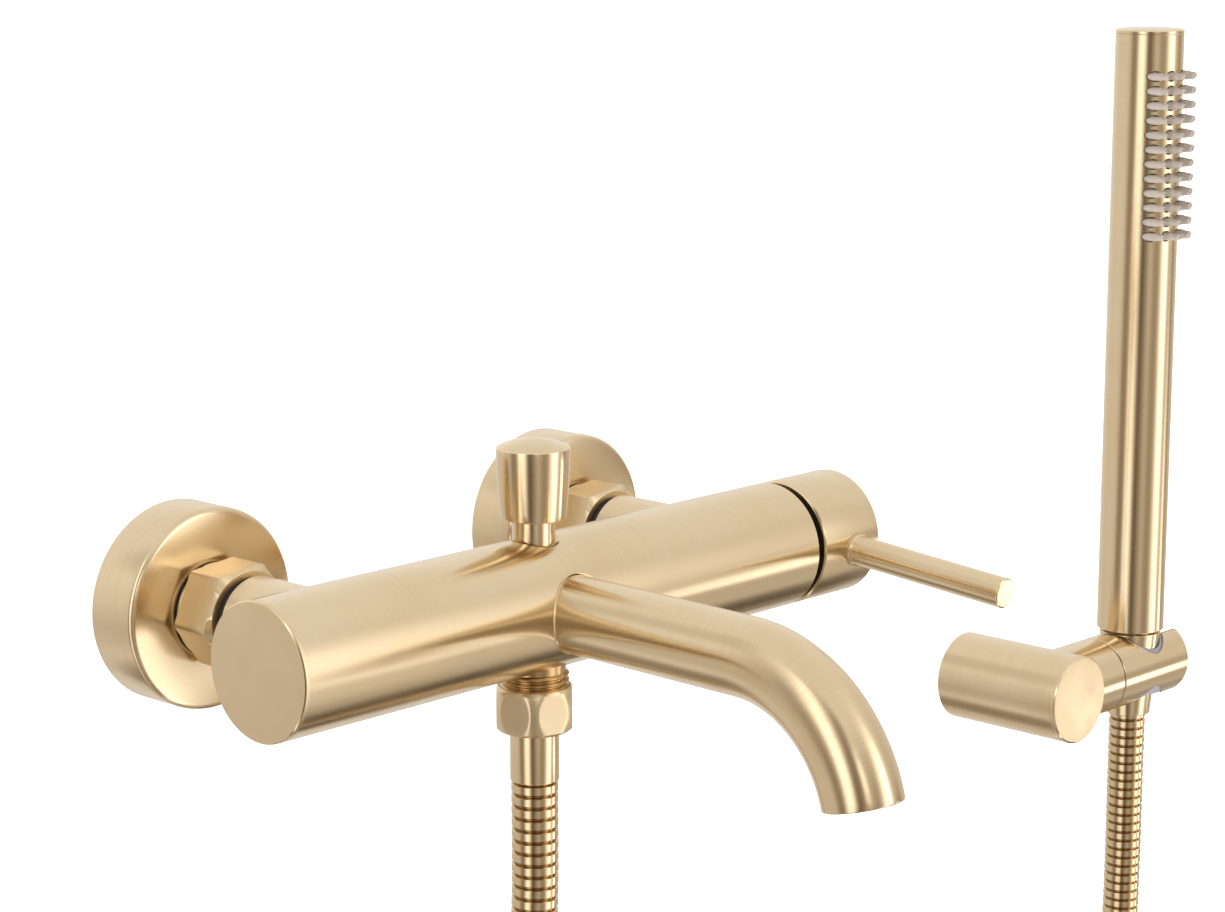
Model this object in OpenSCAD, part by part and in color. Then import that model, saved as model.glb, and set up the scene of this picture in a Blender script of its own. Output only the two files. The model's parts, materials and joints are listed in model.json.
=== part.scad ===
// Wall mounted bath mixer with a bath spout, a diverter, a hose and a hand shower on a wall bracket.
// Millimetres. The wall is the plane Y = 0, the front faces -Y, and the origin is midway between the inlets.

/* [Mixer body] */
// Distance between the two wall inlets
inlet_spacing = 150; // [130:1:180]
// Diameter of the round body
body_d = 39; // [32:0.5:47]
// Distance from the right inlet to the handle gap
handle_overhang = 23.5; // [20:0.5:28]
// Distance from the left inlet to the left end of the body
body_overhang = 36.5; // [30:0.5:44]
// Distance from the wall to the body's axis
body_reach = 80.5; // [76:0.5:97]
// Wall of the cast body
body_wall = 3; // [2.5:0.1:3.6]
// Diameter of the body's two inlet bosses
boss_d = 25.6; // [24:0.2:27]
// Thickness of the plug that closes the left end
end_plug_t = 1.6; // [1.3:0.1:2]

/* [Wall unions] */
// Diameter of the pipe thread that goes into the wall
stud_d = 20.8; // [17.4:0.1:25]
// Length of the pipe thread beyond the wall face
stud_len = 14; // [11:0.5:17]
// Diameter of the round cover plates
escutcheon_d = 59; // [50:0.5:71]
// Depth of the cover plates
escutcheon_depth = 18; // [15:0.5:21]
// Size of the union nuts across their flats
union_nut_af = 28; // [27:0.5:33.6]
// Length of the union nuts
union_nut_len = 14; // [12:0.5:16]

/* [Handle] */
// Gap between the body and the handle cap
handle_gap = 2.8; // [2.3:0.1:3.4]
// Length of the handle cap
handle_len = 26.4; // [24:0.2:31]
// Wall of the handle cap
handle_wall = 2.5; // [2.1:0.1:3]
// Diameter of the lever
lever_d = 9.3; // [7.8:0.1:11]
// How far the lever stands out from the cap
lever_len = 58; // [48:1:70]
// How far the lever points below level at rest, in degrees
lever_fall = 4.5; // [0:0.5:6]
// Depth of the lever's tilting pivot inside the body's end
pivot_depth = 16; // [15:0.5:19]

/* [Spout] */
// Outer diameter of the spout
spout_d = 22.6; // [18.8:0.1:27.1]
// Wall of the spout
spout_wall = 1.5; // [1.2:0.1:1.8]
// Straight run of the spout from the body's axis
spout_straight = 81; // [67:1:97]
// Radius of the spout's bend
spout_bend_r = 43; // [36:1:52]
// Angle of the spout's bend, in degrees
spout_bend = 76; // [64:1:90]
// How far the straight run points below level, in degrees
spout_fall = 0.6; // [0:0.2:3]

/* [Diverter] */
// Distance of the spout, diverter and shower outlet to the left of the middle
outlet_left = 7.5; // [0:0.5:12]
// Diameter of the diverter knob at its top
knob_top_d = 21.4; // [18.4:0.2:25.8]
// Diameter of the diverter knob at its lower edge
knob_low_d = 19.4; // [17.4:0.2:21.2]
// Height of the diverter knob
knob_h = 23.4; // [20:0.2:28]
// Height of the dome on top of the knob
knob_dome = 2.8; // [2.2:0.1:3.4]
// Diameter of the diverter's fixed collar
collar_d = 12.5; // [11.6:0.1:13]
// Travel of the diverter knob
diverter_travel = 8; // [6.7:0.1:9.6]

/* [Shower outlet] */
// Size of the hose nut across its flats
hose_nut_af = 22; // [21.6:0.2:26.4]
// Length of the hose nut
hose_nut_len = 13.4; // [11.6:0.2:16]
// Diameter of the sleeve on the end of the hose
sleeve_d = 14.4; // [14:0.1:17.2]
// Length of the sleeve that shows below the nut
sleeve_len = 15.3; // [12.6:0.1:18.3]

/* [Bracket] */
// Distance of the bracket to the right of the middle
bracket_x = 308; // [280:1:330]
// Distance of the bracket below the body's axis
bracket_drop = 99; // [82:1:118]
// Diameter of the bracket tube
bracket_d = 33; // [30.5:0.5:39.6]
// Length of the bracket from the wall to the front of its cap
bracket_len = 54; // [54:0.5:65]
// Diameter of the arm and of the hand shower holder
arm_d = 29; // [27:0.5:31]
// Distance from the wall to the arm's axis
arm_reach = 38; // [36:0.5:39]
// Distance from the bracket's axis to the seam of the holder
seam_x = 33; // [29:0.5:37]
// Distance from the bracket's axis to the holder's hole
hole_x = 56; // [54:0.5:60]
// Distance from the bracket's axis to the end of the holder
arm_end_x = 76; // [74:0.5:82]
// Width of the slot that lets the hose into the holder
slot_w = 14.6; // [14.4:0.1:16]

/* [Hand shower] */
// Diameter of the hand shower
handset_d = 25.6; // [24.6:0.2:30.7]
// Length of the hand shower's tube
handset_len = 231; // [193:1:277]
// Wall of the hand shower's tube
handset_wall = 1.4; // [1.1:0.1:1.5]
// Number of rows of spray nozzles
nozzle_rows = 12; // [10:1:14]
// Distance between two rows of nozzles
nozzle_pitch = 5.44; // [4.6:0.02:6.5]
// Length of the nozzles outside the tube
nozzle_out = 6; // [5:0.2:7.2]
// Diameter of a nozzle at its root
nozzle_d = 3; // [2.5:0.1:3.6]
// Largest diameter of the conical hose nut
cone_top_d = 23.4; // [22.6:0.2:23.8]
// Smallest diameter of the conical hose nut
cone_low_d = 17.2; // [16.8:0.2:18]
// Length of the conical hose nut
cone_len = 33; // [30:0.5:36]

/* [Hose] */
// Diameter of the hose
hose_d = 14; // [13:0.1:14.2]

/* [Hidden] */
$fn = 64;
e = 0.01;                    // small overlap that makes a cut run past a face
fit = 0.05;                  // radial clearance of a sliding or threaded fit
soft_gap = 0.3;              // space between curved faces that only rest on each other
edge = 0.5;                  // chamfer on visible metal edges

body_r = body_d / 2;
chamber_r = body_r - body_wall;
inlet_x = inlet_spacing / 2;
left_x = -inlet_x - body_overhang;
mouth_x = inlet_x + handle_overhang;
body_len = mouth_x - left_x;
outlet_x = -outlet_left;

union_r = 13.2;              // male thread that the union nut screws onto
union_bore_r = 7;
nut_start = escutcheon_depth + 2;
nut_end = nut_start + union_nut_len;
lip_t = 2.8;                 // inner lip of the union nut
neck_r = 9.5;                // body neck that the lip runs on
flange_t = 2.6;
flange_back = nut_end - lip_t - flange_t;
washer_t = 2;
union_end = flange_back - washer_t;
boss_back = nut_end + 2.4;

web_x = mouth_x - 66;        // wall between the mixed water and the cartridge
web_t = 5;
cartridge_r = chamber_r - 2.5;
turret_r = cartridge_r - 4;
pivot_x = mouth_x - pivot_depth;
housing_end = mouth_x - 10.4;
ring_end = mouth_x - 3.4;
spindle_r = 4.6;
ball_r = 6;
neck_out = handle_gap - 0.8;
trim_neck_r = body_r - 6.5;
cap_x = mouth_x + handle_gap;
cap_end = cap_x + handle_len;
hub_r = 9;
lever_x = cap_x + 14.8;
handle_screw_x = lever_x - 8;
socket_end = lever_x - 4;
cap_bore_r = body_r - handle_wall;

spout_r = spout_d / 2;
spout_bore_r = spout_r - spout_wall;
nipple_r = 8;
aerator_len = 5.5;

collar_r = collar_d / 2;
collar_low = 2;
knob_low = body_r + 6;
knob_top = knob_low + knob_h;
collar_top = knob_low + diverter_travel + 1.5;
rod_r = 2.6;                 // diverter rod
spring_low = collar_low + 3;
spring_top = collar_top - 3;
hot_r = 4.2;                 // hot water tube inside the body
hot_off = chamber_r - hot_r - 1.6;

thread_r = 10.2;             // shower outlet thread
thread_pitch = 1.8;
nut_top = -body_r - 4.4;
nut_low = nut_top - hose_nut_len;
sleeve_low = nut_low - sleeve_len;
outlet_end = nut_low + 7;

bracket_r = bracket_d / 2;
bracket_bore_r = bracket_r - 2.6;
bracket_z = -bracket_drop;
cap_t = 2;
arm_r = arm_d / 2;
screw_r = 3;
disc_t = 0.8;                // friction disc in the holder's seam
hole_r = cone_top_d / 2 + soft_gap + 0.9;
hand_x = bracket_x + hole_x;
hand_y = -arm_reach;
cone_top = bracket_z + arm_r - 0.3;
hand_low = cone_top + 0.8;
hand_top = hand_low + handset_len;
hand_r = handset_d / 2;
hand_bore_r = hand_r - handset_wall;
hand_cap_t = 1.6;
hose_r = hose_d / 2;
hose_bore_r = hose_r + 0.5;
nozzle_first = hand_top - 17;
nozzle_angles = [-45, -15, 15, 45];

// Route of the hose: from the outlet down to the coil, and from the coil up to the holder.
hose_drop_points = [
    [outlet_x, -body_reach, sleeve_low], [outlet_x, -body_reach, sleeve_low - 27.4],
    [outlet_x, -body_reach, sleeve_low - 52.4], [-2, -80.5, -136], [14, -80.5, -168],
    [39, -80.5, -199], [70, -80, -230], [101, -80, -262], [127, -80, -293], [144, -79, -324],
    [150, -79, -355]];
hose_rise_points = [
    [290, -43, -355], [291, -43, -336], [296, -43, -316], [305, -42, -297], [319, -41, -279],
    [334, -40, -262], [348, -39, -244], [358, -38, -225], [hand_x - 1, hand_y, -206], [hand_x, hand_y, -181]];
hose_end_points = [for (z = [-180, -150, -120, -85, -48]) [hand_x, hand_y, z]];
coil_centre = [220, -61, -355];
coil_r = 70;                 // mean radius of the coil
coil_w = 50;                 // width of the coil, its turns side by side

gold = "#c9a774";
brass = "#b5904a";
steel = "#b9bcc0";
black = "#2e2e30";
grey = "#9a9a9c";

// ---- placing ----

// Stands its child on the wall at x and z, with the child's +Z pointing away from the wall.
module from_wall(x, z = 0) translate([x, 0, z]) rotate([90, 0, 0]) children();

// Lays its child on the body's axis at x, with the child's +Z pointing to the right.
module on_axis(x) translate([x, -body_reach, 0]) rotate([0, 90, 0]) children();

// Stands its child upright on the body's axis at the outlets.
module at_outlet(z = 0) translate([outlet_x, -body_reach, z]) children();

// Turns its child down about the body's axis.
module fall(degrees) translate([0, -body_reach, 0]) rotate([degrees, 0, 0]) translate([0, body_reach, 0])
    children();

// Puts its child on the bracket's arm axis, with the child's +Z pointing to the right.
module on_arm(x) translate([bracket_x + x, hand_y, bracket_z]) rotate([0, 90, 0]) children();

// Stands its child upright on the hand shower's axis.
module at_hand(z = 0) translate([hand_x, hand_y, z]) children();

// ---- shapes ----

// Round bar with chamfered ends.
module bar(r, h, low = edge, high = edge)
    rotate_extrude() polygon([[0, 0], [r - low, 0], [r, low], [r, h - high], [r - high, h], [0, h]]);

// Round tube.
module tube(r, bore, h) difference() {
    cylinder(r = r, h = h);
    translate([0, 0, -e]) cylinder(r = bore, h = h + 2 * e);
}

// Hexagonal bar, turned down to the radius corner_r and chamfered at both ends.
module hex_bar(af, h, corner_r, chamfer) intersection() {
    cylinder(r = af / sqrt(3), h = h, $fn = 6);
    bar(corner_r, h, chamfer, chamfer);
}

// Threaded bar, drawn as rings.
module threaded(r, h, pitch) {
    depth = 0.55 * pitch;
    count = floor(h / pitch);
    cylinder(r = r - depth, h = h);
    rotate_extrude() polygon(concat(
        [[0, 0], [r - depth, 0]],
        [for (i = [0:count - 1], k = [0:2]) [r - (k == 1 ? 0 : depth), (i + [0.08, 0.5, 0.92][k]) * pitch]],
        [[r - depth, h], [0, h]]));
}

// Bend that starts level and turns down, with its first section at the origin.
module bend_down(radius, angle) translate([0, 0, -radius])
    rotate([0, -90, 0]) rotate([180, 0, 0]) rotate_extrude(angle = angle) translate([radius, 0]) children();

// Unit vector.
function unit(v) = v / norm(v);

// Direction of a route at point i.
function heading(p, i) = unit(p[min(i + 1, len(p) - 1)] - p[max(i - 1, 0)]);

// Round tube swept along a route that stays near the XZ plane.
module swept(p, r, sides) {
    rings = [for (i = [0:len(p) - 1])
        let (d = heading(p, i), u = unit(cross(d, [0, 1, 0])), v = cross(d, u))
        for (k = [0:sides - 1]) p[i] + r * (cos(360 * k / sides) * u + sin(360 * k / sides) * v)];
    last = (len(p) - 1) * sides;
    polyhedron(rings, concat(
        [[for (k = [0:sides - 1]) k]],
        [for (i = [0:len(p) - 2], k = [0:sides - 1])
            let (a = i * sides + k, b = i * sides + (k + 1) % sides) [a, a + sides, b + sides, b]],
        [[for (k = [sides - 1:-1:0]) last + k]]));
}

// ---- wall unions ----

module wall_union(x) color(brass) from_wall(x) difference() {
    union() {
        translate([0, 0, -stud_len]) bar(stud_d / 2, stud_len + 4, 0.8, 0);
        cylinder(r = union_r, h = union_end);
    }
    translate([0, 0, -stud_len - 1]) cylinder(r = union_bore_r, h = stud_len + union_end + 2);
}

module escutcheon(x) color(gold) from_wall(x) rotate_extrude() difference() {
    polygon([[0, 0], [escutcheon_d / 2 - 0.3, 0], [escutcheon_d / 2, 0.3],
        [escutcheon_d / 2, escutcheon_depth - 1], [escutcheon_d / 2 - 0.3, escutcheon_depth - 0.3],
        [escutcheon_d / 2 - 1, escutcheon_depth], [0, escutcheon_depth]]);
    translate([-1, -1]) square([escutcheon_d / 2 - 1.2 + 1, escutcheon_depth - 1.6 + 1]);
    translate([-1, 0]) square([union_r + fit + 1, escutcheon_depth + 1]);
}

module union_nut(x) color(gold) from_wall(x) translate([0, 0, nut_start]) difference() {
    rotate(6) hex_bar(union_nut_af, union_nut_len, union_nut_af / sqrt(3) - 0.3, 1.4);
    translate([0, 0, -e]) cylinder(r = union_r + fit, h = union_nut_len - lip_t + e);
    cylinder(r = neck_r + soft_gap, h = union_nut_len + 1);
}

module inlet_washer(x) color(black) from_wall(x) translate([0, 0, union_end])
    tube(union_r - 0.7, union_bore_r, washer_t);

// ---- body ----

module inlet_boss(x) from_wall(x) {
    translate([0, 0, boss_back]) bar(boss_d / 2, body_reach - boss_back, 0.6, 0);
    translate([0, 0, flange_back]) cylinder(r = neck_r, h = body_reach - flange_back - body_r / 2);
    translate([0, 0, flange_back]) cylinder(r = union_r - 0.6, h = flange_t);
}

module mixer_body() color(gold) difference() {
    union() {
        on_axis(left_x + end_plug_t) bar(body_r, body_len - end_plug_t, 0, edge);
        inlet_boss(-inlet_x);
        inlet_boss(inlet_x);
    }
    on_axis(left_x - 1) cylinder(r = chamber_r, h = web_x - left_x + 1);
    on_axis(web_x + web_t) cylinder(r = chamber_r, h = body_len);
    on_axis(web_x - 1) translate([0, -8, 0]) cylinder(r = 4, h = web_t + 2);
    on_axis(web_x - 1) translate([0, hot_off, 0]) cylinder(r = hot_r + fit, h = web_t + 2);
    for (x = [-inlet_x, inlet_x]) from_wall(x) cylinder(r = union_bore_r, h = body_reach - hot_off);
    at_outlet() cylinder(r = collar_r + fit, h = body_r + 1);
    at_outlet(body_r - 1.7) cylinder(r = collar_r + 1.3, h = 5);
    at_outlet(-body_r - 1) cylinder(r = thread_r - 0.7 + fit, h = body_r);
    fall(spout_fall) from_wall(outlet_x) translate([0, 0, body_reach])
        cylinder(r = nipple_r + fit, h = body_r + 1);
}

module end_plug() color(gold) on_axis(left_x) {
    bar(body_r, end_plug_t, 0.4, 0);
    cylinder(r = chamber_r - fit, h = end_plug_t + 4);
}

module hot_water_tube() color("#b87333") difference() {
    union() {
        on_axis(-inlet_x) translate([0, hot_off, 0]) cylinder(r = hot_r, h = web_x + inlet_x + web_t);
        on_axis(-inlet_x) translate([0, hot_off, 0]) sphere(r = hot_r);
    }
    on_axis(-inlet_x) translate([0, hot_off, 0]) cylinder(r = hot_r - 1, h = web_x + inlet_x + web_t + 1);
    from_wall(-inlet_x) cylinder(r = hot_r - 1.2, h = body_reach - hot_off);
}

// ---- cartridge and handle ----

module cartridge_housing() color(black) difference() {
    on_axis(web_x + web_t) bar(cartridge_r, housing_end - web_x - web_t, 0.4, 0.4);
    on_axis(web_x + 30) cylinder(r = turret_r + fit, h = 100);
    on_axis(web_x) translate([0, -6, 0]) cylinder(r = 3, h = 60);
    on_axis(web_x) translate([0, 6, 0]) cylinder(r = 2.4, h = 60);
}

module ceramic_discs() color("#e8e6df") on_axis(web_x + 30) bar(turret_r - 0.4, 3.4, 0.3, 0.3);

module cartridge_turret() color("#d9d9d9") difference() {
    on_axis(web_x + 34) bar(turret_r, housing_end - web_x - 35.5, 0.3, 0.3);
    on_axis(web_x + 37) cylinder(r = ball_r + 0.6, h = 60);
    translate([pivot_x, -body_reach, -turret_r - 1]) cylinder(r = 1, h = 2 * turret_r + 2);
}

module pivot_pin() color(steel) translate([pivot_x, -body_reach, -turret_r + 0.4])
    cylinder(r = 1, h = 2 * turret_r - 0.8);

module cartridge_ring_nut() color(brass) on_axis(housing_end) difference() {
    bar(chamber_r - fit, ring_end - housing_end, 0.4, 0.4);
    translate([0, 0, -1]) cylinder(r = turret_r - 0.4, h = 20);
}

module neck_ring() color(black) on_axis(ring_end) difference() {
    union() {
        cylinder(r = chamber_r - fit, h = 2.4);
        bar(trim_neck_r, mouth_x - ring_end + neck_out, 0, 0.4);
    }
    translate([0, 0, -1]) cylinder(r = trim_neck_r - 1.8, h = 20);
}

module handle_spindle() color(steel) difference() {
    union() {
        on_axis(pivot_x) sphere(r = ball_r);
        on_axis(pivot_x - 12.2) cylinder(r = 2.2, h = 12.2);
        on_axis(pivot_x) bar(spindle_r, socket_end - pivot_x, 0, 0.5);
    }
    translate([pivot_x, -body_reach, -ball_r - 1]) cylinder(r = 1 + fit, h = 2 * ball_r + 2);
}

module handle_cap() color(gold) difference() {
    on_axis(cap_x) bar(body_r, handle_len, edge, edge);
    on_axis(cap_x - e) difference() {
        cylinder(r = cap_bore_r, h = handle_len - 3);
        translate([0, 0, 3]) cylinder(r = hub_r, h = handle_len);
    }
    on_axis(cap_x) cylinder(r = spindle_r + fit, h = socket_end - cap_x + 0.2);
    fall(lever_fall) from_wall(lever_x) translate([0, 0, body_reach]) cylinder(r = 3 + fit, h = body_r + 5);
    fall(lever_fall) from_wall(lever_x) translate([0, 0, body_reach + body_r - 1.2])
        cylinder(r = lever_d / 2 + 0.5 + fit, h = 5);
    translate([handle_screw_x, -body_reach, -body_r - 1]) cylinder(r = 2 + fit, h = body_r - 3);
}

module lever() color(gold) fall(lever_fall) from_wall(lever_x) {
    translate([0, 0, body_reach + 3]) cylinder(r = 3, h = body_r);
    translate([0, 0, body_reach + body_r - 1.2]) bar(lever_d / 2 + 0.5, 2.6, 0.2, 0.3);
    translate([0, 0, body_reach + body_r - 1.2]) bar(lever_d / 2, lever_len + 1.2, 0.2, 0.6);
}

module handle_screw() color(steel) translate([handle_screw_x, -body_reach, -body_r + 1]) difference() {
    cylinder(r = 2, h = body_r - spindle_r - 1);
    translate([0, 0, -1]) cylinder(r = 1.2, h = 3.5, $fn = 6);
}

// ---- spout ----

// The spout's run as a solid of radius r, from the distance begin along its axis.
module spout_run(r, begin) fall(spout_fall) {
    from_wall(outlet_x) translate([0, 0, body_reach + begin]) cylinder(r = r, h = spout_straight - begin);
    translate([outlet_x, -body_reach - spout_straight, 0]) bend_down(spout_bend_r, spout_bend) circle(r = r);
}

// Puts its child at the spout's end, with the child's +Z pointing along the flow.
module at_spout_end() fall(spout_fall) translate([outlet_x, -body_reach - spout_straight, -spout_bend_r])
    rotate([spout_bend, 0, 0]) translate([0, 0, spout_bend_r]) rotate([90, 0, 0]) children();

module spout_tube() color(gold) difference() {
    spout_run(spout_r, 0);
    spout_run(spout_bore_r, body_r + 12);
    fall(spout_fall) from_wall(outlet_x) translate([0, 0, body_reach])
        cylinder(r = nipple_r + fit, h = body_r + 13);
    on_axis(left_x) cylinder(r = body_r, h = body_len);
    at_spout_end() translate([0, 0, -aerator_len - 1.2]) cylinder(r = spout_bore_r, h = aerator_len + 2);
}

module spout_nipple() color(brass) fall(spout_fall) from_wall(outlet_x)
    translate([0, 0, body_reach + chamber_r - 2]) tube(nipple_r, nipple_r - 2, body_r - chamber_r + 13);

module aerator_housing() color(grey) at_spout_end() translate([0, 0, -aerator_len - 1]) difference() {
    bar(spout_bore_r - 0.15, aerator_len, 0.3, 0.4);
    translate([0, 0, -e]) cylinder(r = spout_bore_r - 2.2, h = aerator_len + 2 * e);
}

module aerator_screen() color("#d8d8d6") at_spout_end() translate([0, 0, -3.6]) difference() {
    cylinder(r = spout_bore_r - 2.2, h = 1.6);
    for (ring = [1:3], k = [0:6 * ring - 1])
        rotate(60 * k / ring) translate([2.1 * ring, 0, -1]) cylinder(r = 0.6, h = 4, $fn = 16);
    translate([0, 0, -1]) cylinder(r = 0.6, h = 4, $fn = 16);
}

// ---- diverter ----

module diverter_collar() color(gold) at_outlet(collar_low) difference() {
    bar(collar_r, collar_top - collar_low, 0.3, 0.4);
    translate([0, 0, -e]) cylinder(r = rod_r + 1.9, h = spring_top - collar_low);
    translate([0, 0, -e]) cylinder(r = rod_r + fit, h = 60);
}

module diverter_rod() color(brass) at_outlet() {
    translate([0, 0, -body_r + 10.6]) cylinder(r = rod_r, h = body_r - 10.6 + knob_top - 4);
    translate([0, 0, spring_low - 2]) cylinder(r = rod_r + 1.5, h = 2);
    translate([0, 0, -body_r + 9.6]) cylinder(r = 5.4, h = 1);
}

module diverter_spring() color(steel) at_outlet() {
    turns = 7;
    steps = 12;
    wire = 0.45;
    span = spring_top - spring_low - 2 * wire - 0.4;
    route = [for (i = [0:turns * steps])
        [(rod_r + 1) * cos(360 * i / steps), (rod_r + 1) * sin(360 * i / steps),
            spring_low + wire + 0.2 + span * i / (turns * steps)]];
    sides = 6;
    rings = [for (i = [0:len(route) - 1])
        let (c = unit([route[i][0], route[i][1], 0]))
        for (k = [0:sides - 1]) route[i] + wire * (cos(60 * k) * c + [0, 0, sin(60 * k)])];
    last = (len(route) - 1) * sides;
    polyhedron(rings, concat(
        [[for (k = [0:sides - 1]) k]],
        [for (i = [0:len(route) - 2], k = [0:sides - 1])
            let (a = i * sides + k, b = i * sides + (k + 1) % sides) [a, a + sides, b + sides, b]],
        [[for (k = [sides - 1:-1:0]) last + k]]));
}

module diverter_seal() color(black) at_outlet(-body_r + 7.6) bar(5.6, 2, 0.4, 0.2);

module diverter_knob() color(gold) at_outlet(knob_low) difference() {
    shoulder_h = knob_h - knob_dome;
    r = knob_top_d / 2;
    dome_r = (r * r + knob_dome * knob_dome) / 2 / knob_dome;
    intersection() {
        rotate_extrude() polygon([[0, 0], [knob_low_d / 2 - 0.3, 0], [knob_low_d / 2, 0.3],
            [r, shoulder_h - 0.3], [r - 0.35, shoulder_h + 0.25], [r - 0.35, knob_h + 1], [0, knob_h + 1]]);
        translate([0, 0, knob_h - dome_r]) sphere(r = dome_r, $fn = 128);
    }
    translate([0, 0, -1]) cylinder(r = collar_r + soft_gap, h = collar_top - knob_low + 2);
    cylinder(r = rod_r, h = knob_h - 4);
}

// ---- shower outlet ----

module outlet_nipple() color(gold) difference() {
    at_outlet(outlet_end) {
        threaded(thread_r, -body_r - outlet_end - 0.6, thread_pitch);
        cylinder(r = thread_r - 0.7, h = -chamber_r - outlet_end + 1);
    }
    at_outlet(outlet_end - 1) cylinder(r = 7, h = 40);
}

module check_valve() color("#e6e3da") at_outlet(outlet_end + 1) difference() {
    cylinder(r = 6.9, h = 10);
    translate([0, 0, 3]) cylinder(r = 5.6, h = 10);
    for (k = [0:5]) rotate(60 * k) translate([3.6, 0, -1]) cylinder(r = 1.2, h = 6);
}

module hose_nut() color(gold) at_outlet(nut_low) difference() {
    hex_bar(hose_nut_af, hose_nut_len, hose_nut_af / 2 + 1.1, 0.9);
    translate([0, 0, 3.4]) cylinder(r = thread_r + fit, h = hose_nut_len);
    translate([0, 0, -1]) cylinder(r = 6.4 + fit, h = 20);
}

module hose_washer() color(black) at_outlet(nut_low + 5) tube(thread_r - 0.4, 5.5, outlet_end - nut_low - 5);

module hose_sleeve() color(gold) at_outlet(sleeve_low) difference() {
    union() {
        bar(sleeve_d / 2, nut_low - sleeve_low, 0.4, 0.4);
        cylinder(r = 6.4, h = nut_low - sleeve_low + 4);
        translate([0, 0, nut_low - sleeve_low + 3.4]) cylinder(r = 9, h = 1.6);
    }
    translate([0, 0, -1]) cylinder(r = 4.5, h = 40);
}

// ---- bracket ----

module bracket_plate() color(steel) from_wall(bracket_x, bracket_z) difference() {
    bar(bracket_bore_r - 0.2, 12, 0.3, 0.6);
    translate([0, 0, 4]) cylinder(r = bracket_bore_r - 3, h = 20);
    for (side = [-1, 1]) translate([side * 6, 0, -1]) cylinder(r = 2.2, h = 8);
}

module bracket_tube() color(gold) difference() {
    union() {
        from_wall(bracket_x, bracket_z) bar(bracket_r, bracket_len - cap_t, 0.3, 0.2);
        on_arm(0) cylinder(r = arm_r, h = seam_x - disc_t);
    }
    from_wall(bracket_x, bracket_z) translate([0, 0, -1])
        cylinder(r = bracket_bore_r, h = bracket_len - cap_t + 2);
    from_wall(bracket_x, bracket_z) translate([0, 0, bracket_len - cap_t])
        cylinder(r = bracket_r + fit, h = cap_t);
    on_arm(0) cylinder(r = screw_r + fit, h = seam_x + 1);
    translate([bracket_x, -8, bracket_z - bracket_r - 1]) cylinder(r = 1.8 + fit, h = 6);
}

module bracket_cap() color(gold) from_wall(bracket_x, bracket_z) {
    translate([0, 0, bracket_len - cap_t]) bar(bracket_r, cap_t, 0.2, 0.6);
    translate([0, 0, bracket_len - cap_t - 3]) difference() {
        cylinder(r = bracket_bore_r - fit, h = 3 + e);
        translate([0, 0, -e]) cylinder(r = bracket_bore_r - 2, h = 3);
    }
}

module bracket_screw() color(steel) translate([bracket_x, -8, bracket_z - bracket_r + 0.4]) difference() {
    cylinder(r = 1.8, h = bracket_r - bracket_bore_r - 0.2);
    translate([0, 0, -1]) cylinder(r = 0.9, h = 2.4, $fn = 6);
}

module holder_screw() color(steel) {
    on_arm(bracket_bore_r - 5.4) bar(5.2, 3, 0.4, 0.2);
    on_arm(bracket_bore_r - 3) cylinder(r = screw_r, h = hole_x - hole_r - 1.2 - bracket_bore_r + 3);
}

module friction_disc() color(black) on_arm(seam_x - disc_t) tube(arm_r - 1, screw_r + fit, disc_t);

// Space for the hose along the slot, as wide as w.
module slot_space(w) translate([hand_x, hand_y - w / 2, bracket_z - arm_r - 1])
    cube([arm_end_x, w, 2 * arm_r + 2]);

module holder() color(gold) difference() {
    on_arm(seam_x) bar(arm_r, arm_end_x - seam_x, 0.25, 0.5);
    at_hand(bracket_z - arm_r - 1) cylinder(r = hole_r, h = 2 * arm_r + 2);
    slot_space(slot_w + 1.6);
    on_arm(seam_x - 1) cylinder(r = screw_r + fit, h = hole_x - hole_r - seam_x);
}

module holder_liner() color(grey) difference() {
    intersection() {
        on_arm(seam_x) cylinder(r = arm_r - 0.4, h = arm_end_x - seam_x - 0.4);
        union() {
            at_hand(bracket_z - arm_r) cylinder(r = hole_r - fit, h = 2 * arm_r);
            translate([hand_x, hand_y - slot_w / 2 - 0.75, bracket_z - arm_r])
                cube([arm_end_x, slot_w + 1.5, 2 * arm_r]);
        }
    }
    at_hand(cone_top) cone_shape(soft_gap);
    slot_space(slot_w);
}

// ---- hand shower ----

// The conical nut's outside, hanging down from its top, larger by grow all round, and running past both ends.
module cone_shape(grow) {
    slope = (cone_top_d - cone_low_d) / 2 / cone_len;
    past = grow > 0 ? 5 : 0;
    rotate_extrude() polygon([
        [0, -cone_len - past], [cone_low_d / 2 - slope * past + grow, -cone_len - past],
        [cone_top_d / 2 + slope * past + grow, past], [0, past]]);
}

module cone_nut() color(gold) at_hand(cone_top) difference() {
    cone_shape(0);
    translate([0, 0, -9.5]) cylinder(r = 9.6 + fit, h = 10);
    translate([0, 0, -cone_len - 1]) cylinder(r = hose_bore_r, h = cone_len + 2);
}

module handset_nipple() color(brass) difference() {
    union() {
        at_hand(cone_top - 8) cylinder(r = 9.6, h = 12);
        at_hand(hand_low + 0.6) cylinder(r = hand_bore_r - fit, h = 12);
    }
    at_hand(cone_top - 10) cylinder(r = hose_bore_r, h = 40);
}

module handset_washer() color(black) at_hand(cone_top - 9.5) tube(9.4, hose_bore_r, 1.5);

// Distance of the point at x on a circle of radius r from the line through its middle.
function depth_at(r, x) = sqrt(r * r - x * x);

// Repeats its child for every nozzle, with its x offset, pointing to the front.
module each_nozzle() for (row = [0:nozzle_rows - 1], a = nozzle_angles) {
    $nx = hand_r * sin(a);
    at_hand(nozzle_first - row * nozzle_pitch) translate([$nx, 0, 0]) rotate([90, 0, 0]) children();
}

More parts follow.
